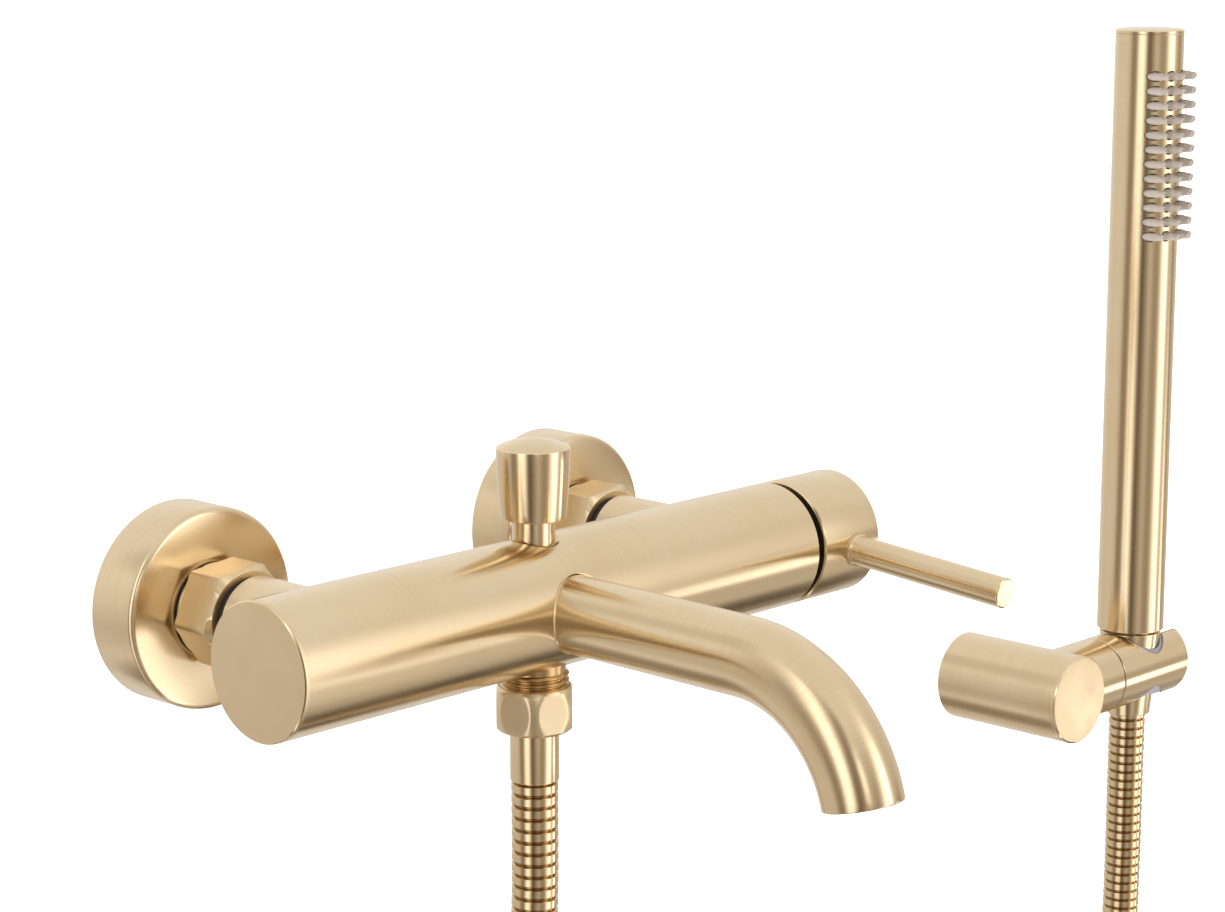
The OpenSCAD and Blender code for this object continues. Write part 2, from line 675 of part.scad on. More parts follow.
module handset_tube() color(gold) difference() {
    at_hand(hand_low) bar(hand_r, handset_len - hand_cap_t, 0.5, 0.15);
    at_hand(hand_low - 1) cylinder(r = hand_bore_r, h = handset_len + 2);
    each_nozzle() translate([0, 0, 2]) cylinder(r = nozzle_d / 2 + 0.6, h = hand_r, $fn = 24);
}

module handset_cap() color(gold) at_hand(hand_top - hand_cap_t) {
    bar(hand_r, hand_cap_t, 0.15, 0.5);
    translate([0, 0, -4]) cylinder(r = hand_bore_r - fit, h = 5);
}

module water_tube() color("#d8d8d4") at_hand(hand_low + 13) difference() {
    bar(hand_bore_r - 2.2, hand_top - hand_low - 20, 0.4, 0.4);
    translate([0, 0, -1]) cylinder(r = hose_bore_r + 0.4, h = hand_top - hand_low - 22);
}

module nozzle_strip() color("#b9b8b4") {
    strip_h = (nozzle_rows - 1) * nozzle_pitch + 8;
    at_hand(nozzle_first - strip_h + 4) rotate(-90 - 62) rotate_extrude(angle = 124)
        translate([hand_bore_r - 1.4, 0]) square([1.2, strip_h]);
    each_nozzle() {
        root = depth_at(hand_bore_r - 0.8, $nx);
        tip = depth_at(hand_r, $nx) + nozzle_out;
        r = nozzle_d / 2;
        rotate_extrude($fn = 20) polygon([[0, root], [r, root], [r, tip - 3], [r - 0.35, tip - 0.7],
            [r - 0.75, tip - 0.15], [r - 1.1, tip], [0, tip]]);
    }
}

// ---- hose ----

module hose_drop() color(gold) swept(hose_drop_points, hose_r, 10);

module hose_rise() color(gold) swept(hose_rise_points, hose_r, 10);

module hose_end() color(gold) swept(hose_end_points, hose_r - 0.2, 12);

module hose_coil() color(gold) translate(coil_centre) rotate([90, 0, 0]) rotate_extrude()
    translate([coil_r - hose_r, -coil_w / 2]) square([hose_d, coil_w]);

module hose_tie() color(black) translate(coil_centre + [0, 0, coil_r]) rotate([90, 0, 90])
    linear_extrude(8, center = true) difference() {
        square([coil_w + 2.4, hose_d + 2.4], center = true);
        square([coil_w, hose_d], center = true);
    }

mixer_body();
end_plug();
hot_water_tube();
wall_union(-inlet_x);  // wall_union_left
wall_union(inlet_x);  // wall_union_right
escutcheon(-inlet_x);  // escutcheon_left
escutcheon(inlet_x);  // escutcheon_right
union_nut(-inlet_x);  // union_nut_left
union_nut(inlet_x);  // union_nut_right
inlet_washer(-inlet_x);  // inlet_washer_left
inlet_washer(inlet_x);  // inlet_washer_right
cartridge_housing();
ceramic_discs();
cartridge_turret();
pivot_pin();
cartridge_ring_nut();
neck_ring();
handle_spindle();
handle_cap();
lever();
handle_screw();
spout_tube();
spout_nipple();
aerator_housing();
aerator_screen();
diverter_collar();
diverter_rod();
diverter_spring();
diverter_seal();
diverter_knob();
outlet_nipple();
check_valve();
hose_nut();
hose_washer();
hose_sleeve();
bracket_plate();
bracket_tube();
bracket_cap();
bracket_screw();
holder_screw();
friction_disc();
holder();
holder_liner();
handset_tube();
handset_cap();
water_tube();
nozzle_strip();
handset_nipple();
handset_washer();
cone_nut();
hose_drop();
hose_coil();
hose_rise();
hose_end();
hose_tie();
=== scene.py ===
"""Looks of a wall mounted bath mixer with a spout, a diverter, a metal hose and a stick hand shower.

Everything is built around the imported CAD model. Lengths are in metres, outlines in millimetres.
"""

import json
import logging
import math
from dataclasses import dataclass, field
from enum import Enum
from typing import Any, Callable, Sequence

import bmesh
import bpy
import numpy as np
from mathutils import Matrix, Vector


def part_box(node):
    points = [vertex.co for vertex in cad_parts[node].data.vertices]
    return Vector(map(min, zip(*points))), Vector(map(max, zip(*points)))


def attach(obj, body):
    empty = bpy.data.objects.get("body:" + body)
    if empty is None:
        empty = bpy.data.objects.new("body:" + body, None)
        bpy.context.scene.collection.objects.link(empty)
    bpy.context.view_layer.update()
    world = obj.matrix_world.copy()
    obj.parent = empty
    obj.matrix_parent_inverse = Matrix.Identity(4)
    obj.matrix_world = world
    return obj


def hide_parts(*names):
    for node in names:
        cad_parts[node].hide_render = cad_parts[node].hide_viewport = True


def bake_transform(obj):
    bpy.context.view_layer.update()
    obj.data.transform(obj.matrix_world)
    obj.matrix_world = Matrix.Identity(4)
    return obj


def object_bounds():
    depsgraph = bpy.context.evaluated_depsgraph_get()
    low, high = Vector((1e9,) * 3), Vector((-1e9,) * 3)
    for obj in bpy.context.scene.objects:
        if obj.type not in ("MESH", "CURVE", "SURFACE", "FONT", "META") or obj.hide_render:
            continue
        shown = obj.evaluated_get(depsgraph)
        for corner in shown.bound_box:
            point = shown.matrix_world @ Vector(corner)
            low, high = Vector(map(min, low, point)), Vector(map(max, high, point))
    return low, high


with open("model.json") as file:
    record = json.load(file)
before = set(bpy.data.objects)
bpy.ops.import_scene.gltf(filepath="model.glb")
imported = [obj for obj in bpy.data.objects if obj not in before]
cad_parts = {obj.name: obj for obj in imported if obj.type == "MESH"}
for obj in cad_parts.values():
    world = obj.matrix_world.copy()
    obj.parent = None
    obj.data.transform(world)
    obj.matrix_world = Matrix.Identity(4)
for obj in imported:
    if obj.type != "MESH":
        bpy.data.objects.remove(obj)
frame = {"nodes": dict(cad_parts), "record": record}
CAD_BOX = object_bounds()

MM = 0.001
UV_NAME = "Turned"
# the attribute that marks the hose's grooves, which its material darkens as painted shade
GROOVE_SHADE_NAME = "Groove"
SHARP_ANGLE = math.radians(28)
CRISP, FINE, EASED, SOFT, ROUNDED = 0.1, 0.15, 0.2, 0.3, 0.4  # roundings of edges, in millimetres
LOG = logging.getLogger("bath_mixer")


class Facing(Enum):
    """Where the axis of a turned piece points. Each value is the piece's own X, Y and Z axes in the row frame."""

    UP = ((1, 0, 0), (0, 1, 0), (0, 0, 1))
    RIGHT = ((0, 1, 0), (0, 0, 1), (1, 0, 0))
    FRONT = ((1, 0, 0), (0, 0, 1), (0, -1, 0))

    def matrix(self, at: Vector) -> Matrix:
        """The matrix that lays a piece on this axis, with its start at a point."""
        return Matrix.Translation(at) @ Matrix(self.value).transposed().to_4x4()

    def axis(self) -> Vector:
        """The axis as a unit vector in the row frame."""
        return Vector(self.value[2])


# ---- finishes ----


def linear(colour: str) -> tuple[float, float, float, float]:
    """Turns an sRGB hex colour into a linear colour with alpha 1.

    Args:
        colour: six hex digits after a hash sign.

    Returns:
        Red, green, blue and alpha.
    """
    parts = [int(colour[i:i + 2], 16) / 255 for i in (1, 3, 5)]
    straight = [c / 12.92 if c <= 0.04045 else ((c + 0.055) / 1.055) ** 2.4 for c in parts]
    return (*straight, 1.0)


def add(tree: bpy.types.NodeTree, kind: str, inputs: dict | None = None, **settings: Any) -> bpy.types.Node:
    """Adds one node to a tree.

    Args:
        tree: the node tree.
        kind: the node's type name.
        inputs: values or output sockets, by the input's name or number.
        **settings: properties of the node.

    Returns:
        The new node.
    """
    node = tree.nodes.new(kind)
    for name, value in settings.items():
        setattr(node, name, value)
    for key, value in (inputs or {}).items():
        if isinstance(value, bpy.types.NodeSocket):
            tree.links.new(value, node.inputs[key])
        else:
            node.inputs[key].default_value = value
    return node


def calculate(tree: bpy.types.NodeTree, operation: str, *values: Any) -> Any:
    """Adds a math node with its values in order and returns the output socket."""
    return add(tree, "ShaderNodeMath", dict(enumerate(values)), operation=operation).outputs[0]


def place_object(name: str, data: Any) -> bpy.types.Object:
    """Puts a new object with this data in the scene, at the origin."""
    made = bpy.data.objects.new(name, data)
    bpy.context.scene.collection.objects.link(made)
    return made


def new_material(name: str) -> tuple[bpy.types.Material, bpy.types.NodeTree, bpy.types.Node]:
    """An empty node material.

    Args:
        name: the material's name.

    Returns:
        The material, its tree and its surface shader, which is already linked to the output.
    """
    material = bpy.data.materials.new(name)
    material.use_nodes = True
    tree = material.node_tree
    tree.nodes.clear()
    shader = add(tree, "ShaderNodeBsdfPrincipled")
    add(tree, "ShaderNodeOutputMaterial", {"Surface": shader.outputs[0]})
    return material, tree, shader


def spread(tree: bpy.types.NodeTree, value: Any, low: float, high: float) -> Any:
    """Maps a 0 to 1 value to low to high and returns the output socket."""
    return add(tree, "ShaderNodeMapRange", {0: value, 3: low, 4: high}).outputs[0]


def blend_colours(tree: bpy.types.NodeTree, share: Any, first: str, second: str) -> Any:
    """Mixes two hex colours by a 0 to 1 value and returns the output socket."""
    colours = {6: linear(first), 7: linear(second), 0: share}
    return add(tree, "ShaderNodeMix", colours, data_type="RGBA").outputs[2]


@dataclass(frozen=True)
class Grain:
    """A noise in the object's own coordinates, by how often it repeats in a metre."""

    scale: float
    detail: float

    def noise(self, tree: bpy.types.NodeTree) -> Any:
        """Adds the noise and returns its value."""
        place = add(tree, "ShaderNodeTexCoord").outputs["Object"]
        settings = {"Vector": place, "Scale": self.scale, "Detail": self.detail}
        return add(tree, "ShaderNodeTexNoise", settings).outputs[0]


def link_surface(tree: bpy.types.NodeTree, shader: bpy.types.Node, colour: Any, rough: Any,
                 relief: tuple[Any, float, float]) -> None:
    """Links a shader to its surface.

    Args:
        tree: the material's tree.
        shader: its surface shader.
        colour: the socket of the colour.
        rough: the socket of the roughness.
        relief: the socket of the bump's height, its strength and its depth in metres.
    """
    bump = add(tree, "ShaderNodeBump", dict(zip(("Height", "Strength", "Distance"), relief)))
    for name, socket in (("Base Color", colour), ("Roughness", rough), ("Normal", bump.outputs[0])):
        tree.links.new(socket, shader.inputs[name])


@dataclass(frozen=True)
class BrushedGold:
    """Brass, turned and brushed round its axis, with a thin satin gold coating put on in a vacuum.

    The fine rings stretch each highlight along the piece, and the coating is a little browner where it is thin.
    Real brush marks are 0.05 mm apart; they are drawn 0.2 mm apart, as coarse as they need to be to show.
    """

    name: str = "brushed_gold_coated_brass"
    colour: str = "#E6D2B0"
    worn: str = "#DFC8A1"
    worn_range: tuple[float, float] = (0.12, 0.45)
    clouds: Grain = Grain(34.0, 3.0)
    roughness: float = 0.21
    smoother: float = 0.035
    rougher: float = 0.045
    rough_range: tuple[float, float] = (0.7, 1.3)
    stretch: float = 0.7
    quarter_turn: float = 0.25
    mark_spacing: float = 0.2 * MM
    mark_depth: float = 0.0008 * MM
    mark_strength: float = 0.5

    def material(self) -> bpy.types.Material:
        """Builds the node material."""
        material, tree, shader = new_material(self.name)
        marks, clouds = self.marks(tree), self.clouds.noise(tree)
        share = add(tree, "ShaderNodeMapRange", {
            0: calculate(tree, "MULTIPLY", clouds, marks), 1: self.worn_range[0], 2: self.worn_range[1]}).outputs[0]
        rough = add(tree, "ShaderNodeMapRange", {
            0: calculate(tree, "ADD", clouds, marks), 1: self.rough_range[0], 2: self.rough_range[1],
            3: self.roughness - self.smoother, 4: self.roughness + self.rougher}).outputs[0]
        colour = blend_colours(tree, share, self.colour, self.worn)
        link_surface(tree, shader, colour, rough, (marks, self.mark_strength, self.mark_depth))
        tangent = add(tree, "ShaderNodeTangent", direction_type="UV_MAP", uv_map=UV_NAME)
        tree.links.new(tangent.outputs[0], shader.inputs["Tangent"])
        shader.inputs["Metallic"].default_value = 1.0
        shader.inputs["Anisotropic"].default_value = self.stretch
        shader.inputs["Anisotropic Rotation"].default_value = self.quarter_turn
        return material

    def marks(self, tree: bpy.types.NodeTree) -> Any:
        """The socket of the fine rings, a noise that is long round the axis and short along it."""
        uv = add(tree, "ShaderNodeUVMap", uv_map=UV_NAME).outputs[0]
        turn, way = add(tree, "ShaderNodeSeparateXYZ", {0: uv}).outputs[:2]
        angle = calculate(tree, "MULTIPLY", turn, math.tau)
        along = calculate(tree, "MULTIPLY", way, 1 / self.mark_spacing)
        ring = add(tree, "ShaderNodeCombineXYZ", {
            0: calculate(tree, "COSINE", angle), 1: calculate(tree, "SINE", angle), 2: along}).outputs[0]
        settings = {"Vector": ring, "Scale": 1.0, "Detail": 4.0, "Roughness": 0.6}
        return add(tree, "ShaderNodeTexNoise", settings).outputs[0]


@dataclass(frozen=True)
class CastMetal:
    """A bare or coated metal without a brushed direction: turned nuts, wire, drawn tube and polished chamfers.

    Small clouds in its gloss and a fine grain break up the highlights. Where a groove shade colour is given, the
    grooves that the hose marks are darkened towards it: painted shade in the recesses between its rings.
    """

    name: str
    colour: str
    shade: str
    roughness: float
    grain: float = 0.6 * MM
    grain_depth: float = 0.01 * MM
    groove_shade_colour: str = ""
    clouds: Grain = Grain(90.0, 3.0)
    gloss_change: float = 0.25

    def material(self) -> bpy.types.Material:
        """Builds the node material."""
        material, tree, shader = new_material(self.name)
        grain, clouds = Grain(1 / self.grain, 2.0).noise(tree), self.clouds.noise(tree)
        rough = spread(
            tree, clouds, self.roughness * (1 - self.gloss_change), self.roughness * (1 + self.gloss_change))
        colour = blend_colours(tree, clouds, self.colour, self.shade)
        # painted shade: the grooves between the hose's rings are darkened towards the groove shade colour
        if self.groove_shade_colour:
            groove = add(tree, "ShaderNodeAttribute", attribute_name=GROOVE_SHADE_NAME).outputs["Fac"]
            colours = {6: colour, 7: linear(self.groove_shade_colour), 0: groove}
            colour = add(tree, "ShaderNodeMix", colours, data_type="RGBA").outputs[2]
        link_surface(tree, shader, colour, rough, (grain, 0.3, self.grain_depth))
        shader.inputs["Metallic"].default_value = 1.0
        return material


@dataclass(frozen=True)
class Moulded:
    """A moulded plastic, rubber or glazed ceramic, with a fine grain from its mould and small clouds of colour."""

    name: str
    colour: str
    shade: str
    roughness: float
    grain: float = 0.5 * MM
    grain_depth: float = 0.02 * MM
    ior: float = 1.5
    glow_depth: float = 0.0
    glow_share: float = 0.5
    clouds: Grain = Grain(120.0, 2.0)
    gloss_change: float = 0.06

    def material(self) -> bpy.types.Material:
        """Builds the node material."""
        material, tree, shader = new_material(self.name)
        grain, clouds = Grain(1 / self.grain, 3.0).noise(tree), self.clouds.noise(tree)
        rough = spread(tree, grain, self.roughness - self.gloss_change, self.roughness + self.gloss_change)
        colour = blend_colours(tree, clouds, self.colour, self.shade)
        link_surface(tree, shader, colour, rough, (grain, 0.4, self.grain_depth))
        shader.inputs["IOR"].default_value = self.ior
        if self.glow_depth:
            shader.inputs["Subsurface Weight"].default_value = self.glow_share
            shader.inputs["Subsurface Radius"].default_value = (1.0, 0.85, 0.7)
            shader.inputs["Subsurface Scale"].default_value = self.glow_depth
        return material


FINISHES = {
    "brushed_gold": BrushedGold(),
    "satin_gold": CastMetal("satin_gold_end_face", "#E6D2B0", "#E0CAA3", 0.34, 0.25 * MM, 0.002 * MM),
    "polished_gold": CastMetal("polished_gold_chamfer", "#F0DCB8", "#E8CFA6", 0.16),
    "plain_gold": CastMetal("turned_gold_thread", "#CDB085", "#B89766", 0.26, 0.5 * MM, 0.002 * MM),
    # the hose strip's groove colour is painted shade in the grooves between its rings
    "hose_gold": CastMetal(
        "interlocked_gold_hose_strip", "#E6D2B0", "#DCC49B", 0.17, 0.5 * MM, 0.002 * MM, groove_shade_colour="#A07F50"),
    "bare_brass": CastMetal("turned_bare_brass", "#D9BC7C", "#C7A662", 0.24),
    "copper": CastMetal("drawn_copper_tube", "#DFA57C", "#C98B62", 0.3),
    "steel": CastMetal("turned_stainless_steel", "#C9CACC", "#B4B6B9", 0.28),
    "spring_steel": CastMetal("drawn_spring_wire", "#BFC1C4", "#A9ABAF", 0.25),
    "black_rubber": Moulded("moulded_black_rubber", "#1F1F20", "#2A2A2C", 0.7, ior=1.52),
    "black_plastic": Moulded("moulded_black_acetal", "#2A2A2C", "#353538", 0.42, ior=1.48),
    "grey_plastic": Moulded("moulded_grey_acetal", "#8F9092", "#A1A2A3", 0.45, ior=1.48),
    "white_plastic": Moulded("moulded_white_acetal", "#DAD8D0", "#E6E4DD", 0.4, ior=1.48),
    "ceramic": Moulded("lapped_ceramic", "#E6E3DA", "#F0EEE6", 0.18, grain_depth=0.004 * MM, ior=1.7),
    "silicone": Moulded("translucent_grey_silicone", "#B3AAA0", "#C4BBB1", 0.36, ior=1.41, glow_depth=1.2 * MM),
    "tie_black": Moulded("moulded_black_hook_tie", "#1B1B1D", "#29292B", 0.8, ior=1.5),
}
MATERIALS: dict[str, bpy.types.Material] = {}


def finish(name: str) -> bpy.types.Material:
    """The material of a finish, built the first time that it is asked for."""
    if name not in MATERIALS:
        MATERIALS[name] = FINISHES[name].material()
    return MATERIALS[name]


# ---- turned and swept shapes ----


@dataclass(frozen=True)
class Corner:
    """A corner of an outline in millimetres: its radius r from the axis, its height h and its rounding.

    If polished is set, the rounding and the edge that follows it are polished bright.
    """

    r: float
    h: float
    rounding: float = 0.0
    polished: bool = False


def rounded(outline: Sequence[Corner], steps: int = 4) -> list[tuple[float, float, bool]]:
    """Rounds the corners of an outline with true arcs.

    Args:
        outline: the corners in order.
        steps: the pieces in each arc.

    Returns:
        Points as radius, height and whether the edge from there to the next point is polished.
    """
    points: list[tuple[float, float, bool]] = []
    for i, corner in enumerate(outline):
        here = Vector((corner.r, corner.h))
        if corner.rounding == 0 or i in (0, len(outline) - 1):
            points.append((corner.r, corner.h, corner.polished))
            continue
        to_last = (Vector((outline[i - 1].r, outline[i - 1].h)) - here).normalized()
        to_next = (Vector((outline[i + 1].r, outline[i + 1].h)) - here).normalized()
        half = to_last.angle(to_next) / 2
        start = here + to_last * corner.rounding / math.tan(half)
        end = here + to_next * corner.rounding / math.tan(half)
        weight = math.sin(half)
        for k in range(steps + 1):
            t = k / steps
            a, b, c = (1 - t) ** 2, 2 * t * (1 - t) * weight, t * t
            point = (start * a + here * b + end * c) / (a + b + c)
            points.append((point.x, point.y, corner.polished))
    return points


def make_piece(name: str, verts: Sequence, faces: Sequence, uvs: Sequence, finishes: Sequence[str],
               finish_of: Sequence[int], flip: bool = False) -> bpy.types.Object:
    """Makes a mesh object at the origin with smooth faces, sharp edges and the turned UV map.

    Args:
        name: the piece's name.
        verts: points in metres.
        faces: rows of point numbers.
        uvs: one row of UV pairs for each face.
        finishes: names of the finishes it has.
        finish_of: the number of each face's finish.
        flip: turn the faces round.

    Returns:
        The new object.
    """
    mesh = bpy.data.meshes.new(name)
    mesh.from_pydata([tuple(v) for v in verts], [], [tuple(f) for f in faces])
    layer = mesh.uv_layers.new(name=UV_NAME)
    layer.data.foreach_set("uv", np.array([c for row in uvs for pair in row for c in pair], np.float32))
    for number in finishes:
        mesh.materials.append(finish(number))
    mesh.polygons.foreach_set("material_index", np.array(finish_of, np.int32))
    if flip:
        mesh.flip_normals()
    mesh.polygons.foreach_set("use_smooth", np.ones(len(mesh.polygons), bool))
    mesh.set_sharp_from_angle(angle=SHARP_ANGLE)
    mesh.validate()
    return place_object(name, mesh)


def rings_to_faces(rings: Sequence[int], lengths: Sequence[float], polished: Sequence[bool],
                   sides: int) -> tuple[list, list, list]:
    """Joins rings of points into faces.

    Args:
        rings: the number of each ring's first point, and below 0 for a pole at point -1 - number.
        lengths: the length along the outline at each ring, in metres.
        polished: whether the band after each ring is polished.
        sides: the points in a ring.

    Returns:
        Faces, their UV rows and the number of each face's finish.
    """
    faces, uvs, kinds = [], [], []
    for i in range(len(rings) - 1):
        low, high, v0, v1 = rings[i], rings[i + 1], lengths[i], lengths[i + 1]
        for k in range(sides):
            n, u0, u1 = (k + 1) % sides, k / sides, (k + 1) / sides
            if low < 0:
                faces.append((-1 - low, high + n, high + k))
                uvs.append(((u0, v0), (u1, v1), (u0, v1)))
            elif high < 0:
                faces.append((low + k, low + n, -1 - high))
                uvs.append(((u0, v0), (u1, v0), (u0, v1)))
            else:
                faces.append((low + k, low + n, high + n, high + k))
                uvs.append(((u0, v0), (u1, v0), (u1, v1), (u0, v1)))
            kinds.append(int(polished[i]))
    return faces, uvs, kinds


def turned(name: str, outline: Sequence[Corner], facing: Facing, at: Vector, slot: str = "brushed_gold",
           sides: int = 96, shape: Callable[[float, float, float], float] | None = None,
           closed: bool = False) -> bpy.types.Object:
    """Turns an outline round an axis.

    Args:
        name: the piece's name.
        outline: corners from the start of the axis outwards and to its end; a radius of 0 is a pole.
        facing: where the axis points.
        at: the start of the axis, in metres.
        slot: the finish of all faces that aren't polished.
        sides: the points in a ring.
        shape: gives the radius from the angle, the outline's radius and the height, all but the angle in mm.
        closed: the outline comes back to its first corner, as a ring's does.

    Returns:
        The new piece.
    """
    points = rounded(outline)
    if closed:
        points.append(points[0])
    place = facing.matrix(at)
    verts, rings, lengths, length = [], [], [], 0.0
    for i, (r, h, _) in enumerate(points):
        if i:
            length += math.hypot(r - points[i - 1][0], h - points[i - 1][1]) * MM
        lengths.append(length)
        if closed and i == len(points) - 1:
            rings.append(rings[0])
        elif r < MERGE_DISTANCE:
            rings.append(-1 - len(verts))
            verts.append(place @ Vector((0, 0, h * MM)))
        else:
            rings.append(len(verts))
            for k in range(sides):
                angle = math.tau * k / sides
                reach = (shape(angle, r, h) if shape else r) * MM
                verts.append(place @ Vector((reach * math.cos(angle), reach * math.sin(angle), h * MM)))
    faces, uvs, kinds = rings_to_faces(rings, lengths, [p[2] for p in points], sides)
    return make_piece(name, verts, faces, uvs, (slot, "polished_gold"), kinds)


def hexagon(across_flats: float, softness: float, turn: float) -> Callable[[float, float, float], float]:
    """A shape for turned(): the outline cut by a hexagon.

    Args:
        across_flats: the hexagon's size in mm.
        softness: how far from an edge its rounding begins, in mm.
        turn: where the middle of one flat is, in degrees.

    Returns:
        The shape.
    """

    def radius(angle: float, r: float, _: float) -> float:
        """The smaller of the outline and the hexagon, joined smoothly."""
        flat = across_flats / 2 / math.cos((angle - math.radians(turn) + math.pi / 6) % (math.pi / 3) - math.pi / 6)
        mix = max(softness - abs(r - flat), 0) / softness
        return min(r, flat) - mix * mix * softness / 4

    return radius


def smooth_line(points: Sequence, step: float) -> np.ndarray:
    """A smooth curve through points.

    Args:
        points: the points in metres.
        step: the distance between the points of the result.

    Returns:
        The curve's points, evenly spaced.
    """
    p = np.array([points[0], *points, points[-1]], float)
    dense = []
    for i in range(1, len(p) - 2):
        for t in np.arange(0, 1, 1 / CURVE_STEPS):
            dense.append(0.5 * (2 * p[i] + (p[i + 1] - p[i - 1]) * t
                                + (2 * p[i - 1] - 5 * p[i] + 4 * p[i + 1] - p[i + 2]) * t ** 2
                                + (3 * p[i] - p[i - 1] - 3 * p[i + 1] + p[i + 2]) * t ** 3))
    dense = np.array([*dense, p[-1]])
    run = np.concatenate([[0], np.cumsum(np.linalg.norm(np.diff(dense, axis=0), axis=1))])
    even = np.linspace(0, run[-1], max(2, round(run[-1] / step)) + 1)
    return np.column_stack([np.interp(even, run, dense[:, k]) for k in range(3)])


ROUND_SLACK = 0.08 * MM
ROUND_TILT = 0.9
MERGE_DISTANCE = 1e-6
CURVE_STEPS = 24


@dataclass(frozen=True)
class Round:
    """A round surface of a CAD part: its axis, a point on that axis and its radius, in metres."""

    facing: Facing
    at: Vector
    radius: float

    def out(self, point: Vector) -> Vector:
        """The vector from the axis to a point, square to the axis."""
        offset = point - self.at
        return offset - self.facing.axis() * offset.dot(self.facing.axis())

    def holds(self, points: Sequence[Vector], normal: Vector) -> bool:
        """Whether a face with these corners and normal lies on this surface."""
        for point in points:
            out = self.out(point)
            if abs(out.length - self.radius) > ROUND_SLACK or abs(out.normalized().dot(normal)) < ROUND_TILT:
                return False
        return True

    def turned_uv(self, point: Vector, near: float | None) -> tuple[float, float]:
        """The turned UV of a point: its angle as a share of a turn, close to near, and its way along the axis."""
        out, local = self.out(point), Matrix(self.facing.value)
        angle = math.atan2(out.dot(local[1]), out.dot(local[0])) / math.tau
        if near is not None:
            angle += round(near - angle)
        return angle, (point - self.at).dot(self.facing.axis()) + out.length


def finished_copy(node: str, rounds: Sequence[Round], slot: str = "brushed_gold") -> bpy.types.Object:
    """A merged copy of a CAD node whose round faces get their exact normals and the turned UV map.

    Args:
        node: the CAD node's name.
        rounds: its round surfaces; the first one's axis also gives the UV of all other faces.
        slot: its finish.

    Returns:
        The new piece, which isn't on a body yet.
    """
    shell = bmesh.new()
    shell.from_mesh(frame["nodes"][node].data)
    bmesh.ops.remove_doubles(shell, verts=shell.verts, dist=MERGE_DISTANCE)
    mesh = bpy.data.meshes.new(f"{node}_finished")
    shell.to_mesh(mesh)
    shell.free()
    mesh.materials.clear()
    mesh.materials.append(finish(slot))
    mesh.polygons.foreach_set("use_smooth", np.ones(len(mesh.polygons), bool))
    mesh.polygons.foreach_set("material_index", np.zeros(len(mesh.polygons), np.int32))
    for layer in list(mesh.uv_layers):
        mesh.uv_layers.remove(layer)
    layer = mesh.uv_layers.new(name=UV_NAME)
    mesh.set_sharp_from_angle(angle=SHARP_ANGLE)
    normals = [Vector(n.vector) for n in mesh.corner_normals]
    for face in mesh.polygons:
        points = [mesh.vertices[v].co for v in face.vertices]
        surface = next((r for r in rounds if r.holds(points, face.normal)), None)
        near = None
        for loop, point in zip(face.loop_indices, points):
            layer.data[loop].uv = (surface or rounds[0]).turned_uv(point, near)
            near = layer.data[loop].uv[0]
            if surface:
                out = surface.out(point).normalized()
                normals[loop] = out if out.dot(face.normal) > 0 else -out
    mesh.normals_split_custom_set(normals)
    return place_object(f"{node}_finished", mesh)


def run_tree(name: str, tree: bpy.types.NodeTree, mesh: bpy.types.Mesh | bpy.types.Curve,
             sizes: dict[str, Any]) -> bpy.types.Object:
    """Runs a Geometry Nodes tree on a starting shape and returns the result as a plain mesh object.

    Args:
        name: the piece's name.
        tree: the tree, whose inputs are named.
        mesh: the starting shape.
        sizes: the value of each named input.

    Returns:
        The new piece, with no modifier.
    """
    start = place_object(f"{name}_start", mesh)
    modifier = start.modifiers.new(tree.name, "NODES")
    modifier.node_group = tree
    for item in tree.interface.items_tree:
        if item.item_type == "SOCKET" and item.in_out == "INPUT" and item.name in sizes:
            modifier[item.identifier] = sizes[item.name]
    evaluated = start.evaluated_get(bpy.context.evaluated_depsgraph_get())
    result = bpy.data.meshes.new_from_object(evaluated)
    result.name = name
    bpy.data.objects.remove(start)
    return place_object(name, result)


def new_tree(name: str, inputs: dict[str, str]) -> tuple[bpy.types.NodeTree, Any]:
    """An empty Geometry Nodes tree.

    Args:
        name: the tree's name.
        inputs: the socket type of each named input, after the geometry.

    Returns:
        The tree and its input node's outputs.
    """
    tree = bpy.data.node_groups.new(name, "GeometryNodeTree")
    tree.interface.new_socket("Geometry", in_out="INPUT", socket_type="NodeSocketGeometry")
    for label, kind in inputs.items():
        tree.interface.new_socket(label, in_out="INPUT", socket_type=kind)
    tree.interface.new_socket("Geometry", in_out="OUTPUT", socket_type="NodeSocketGeometry")
    return tree, add(tree, "NodeGroupInput").outputs


def end_tree(tree: bpy.types.NodeTree, geometry: Any, slot: str) -> None:
    """Ends a tree in smooth shading, Realize Instances and Set Material."""
    smooth = add(tree, "GeometryNodeSetShadeSmooth", {"Geometry": geometry})
    real = add(tree, "GeometryNodeRealizeInstances", {"Geometry": smooth.outputs[0]})
    dressed = add(tree, "GeometryNodeSetMaterial", {"Geometry": real.outputs[0], "Material": finish(slot)})
    add(tree, "NodeGroupOutput", {0: dressed.outputs[0]})


def set_in_rows(tree: bpy.types.NodeTree, sizes: Any, points: Any, slot: str) -> None:
    """Ends a tree in the starting shape together with the object of its input Part, set on points.

    Args:
        tree: the node tree.
        sizes: its input node's outputs.
        points: the socket of the points.
        slot: the finish.
    """
    shape = add(tree, "GeometryNodeObjectInfo", {"Object": sizes["Part"]}).outputs["Geometry"]
    rows = add(tree, "GeometryNodeInstanceOnPoints", {"Points": points, "Instance": shape})
    joined = add(tree, "GeometryNodeJoinGeometry", {0: rows.outputs[0]})
    tree.links.new(sizes["Geometry"], joined.inputs[0])
    end_tree(tree, joined.outputs[0], slot)


# ---- sub-assemblies ----


def middle(node: str) -> Vector:
    """The middle of a CAD node's box."""
    low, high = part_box(node)
    return (low + high) / 2


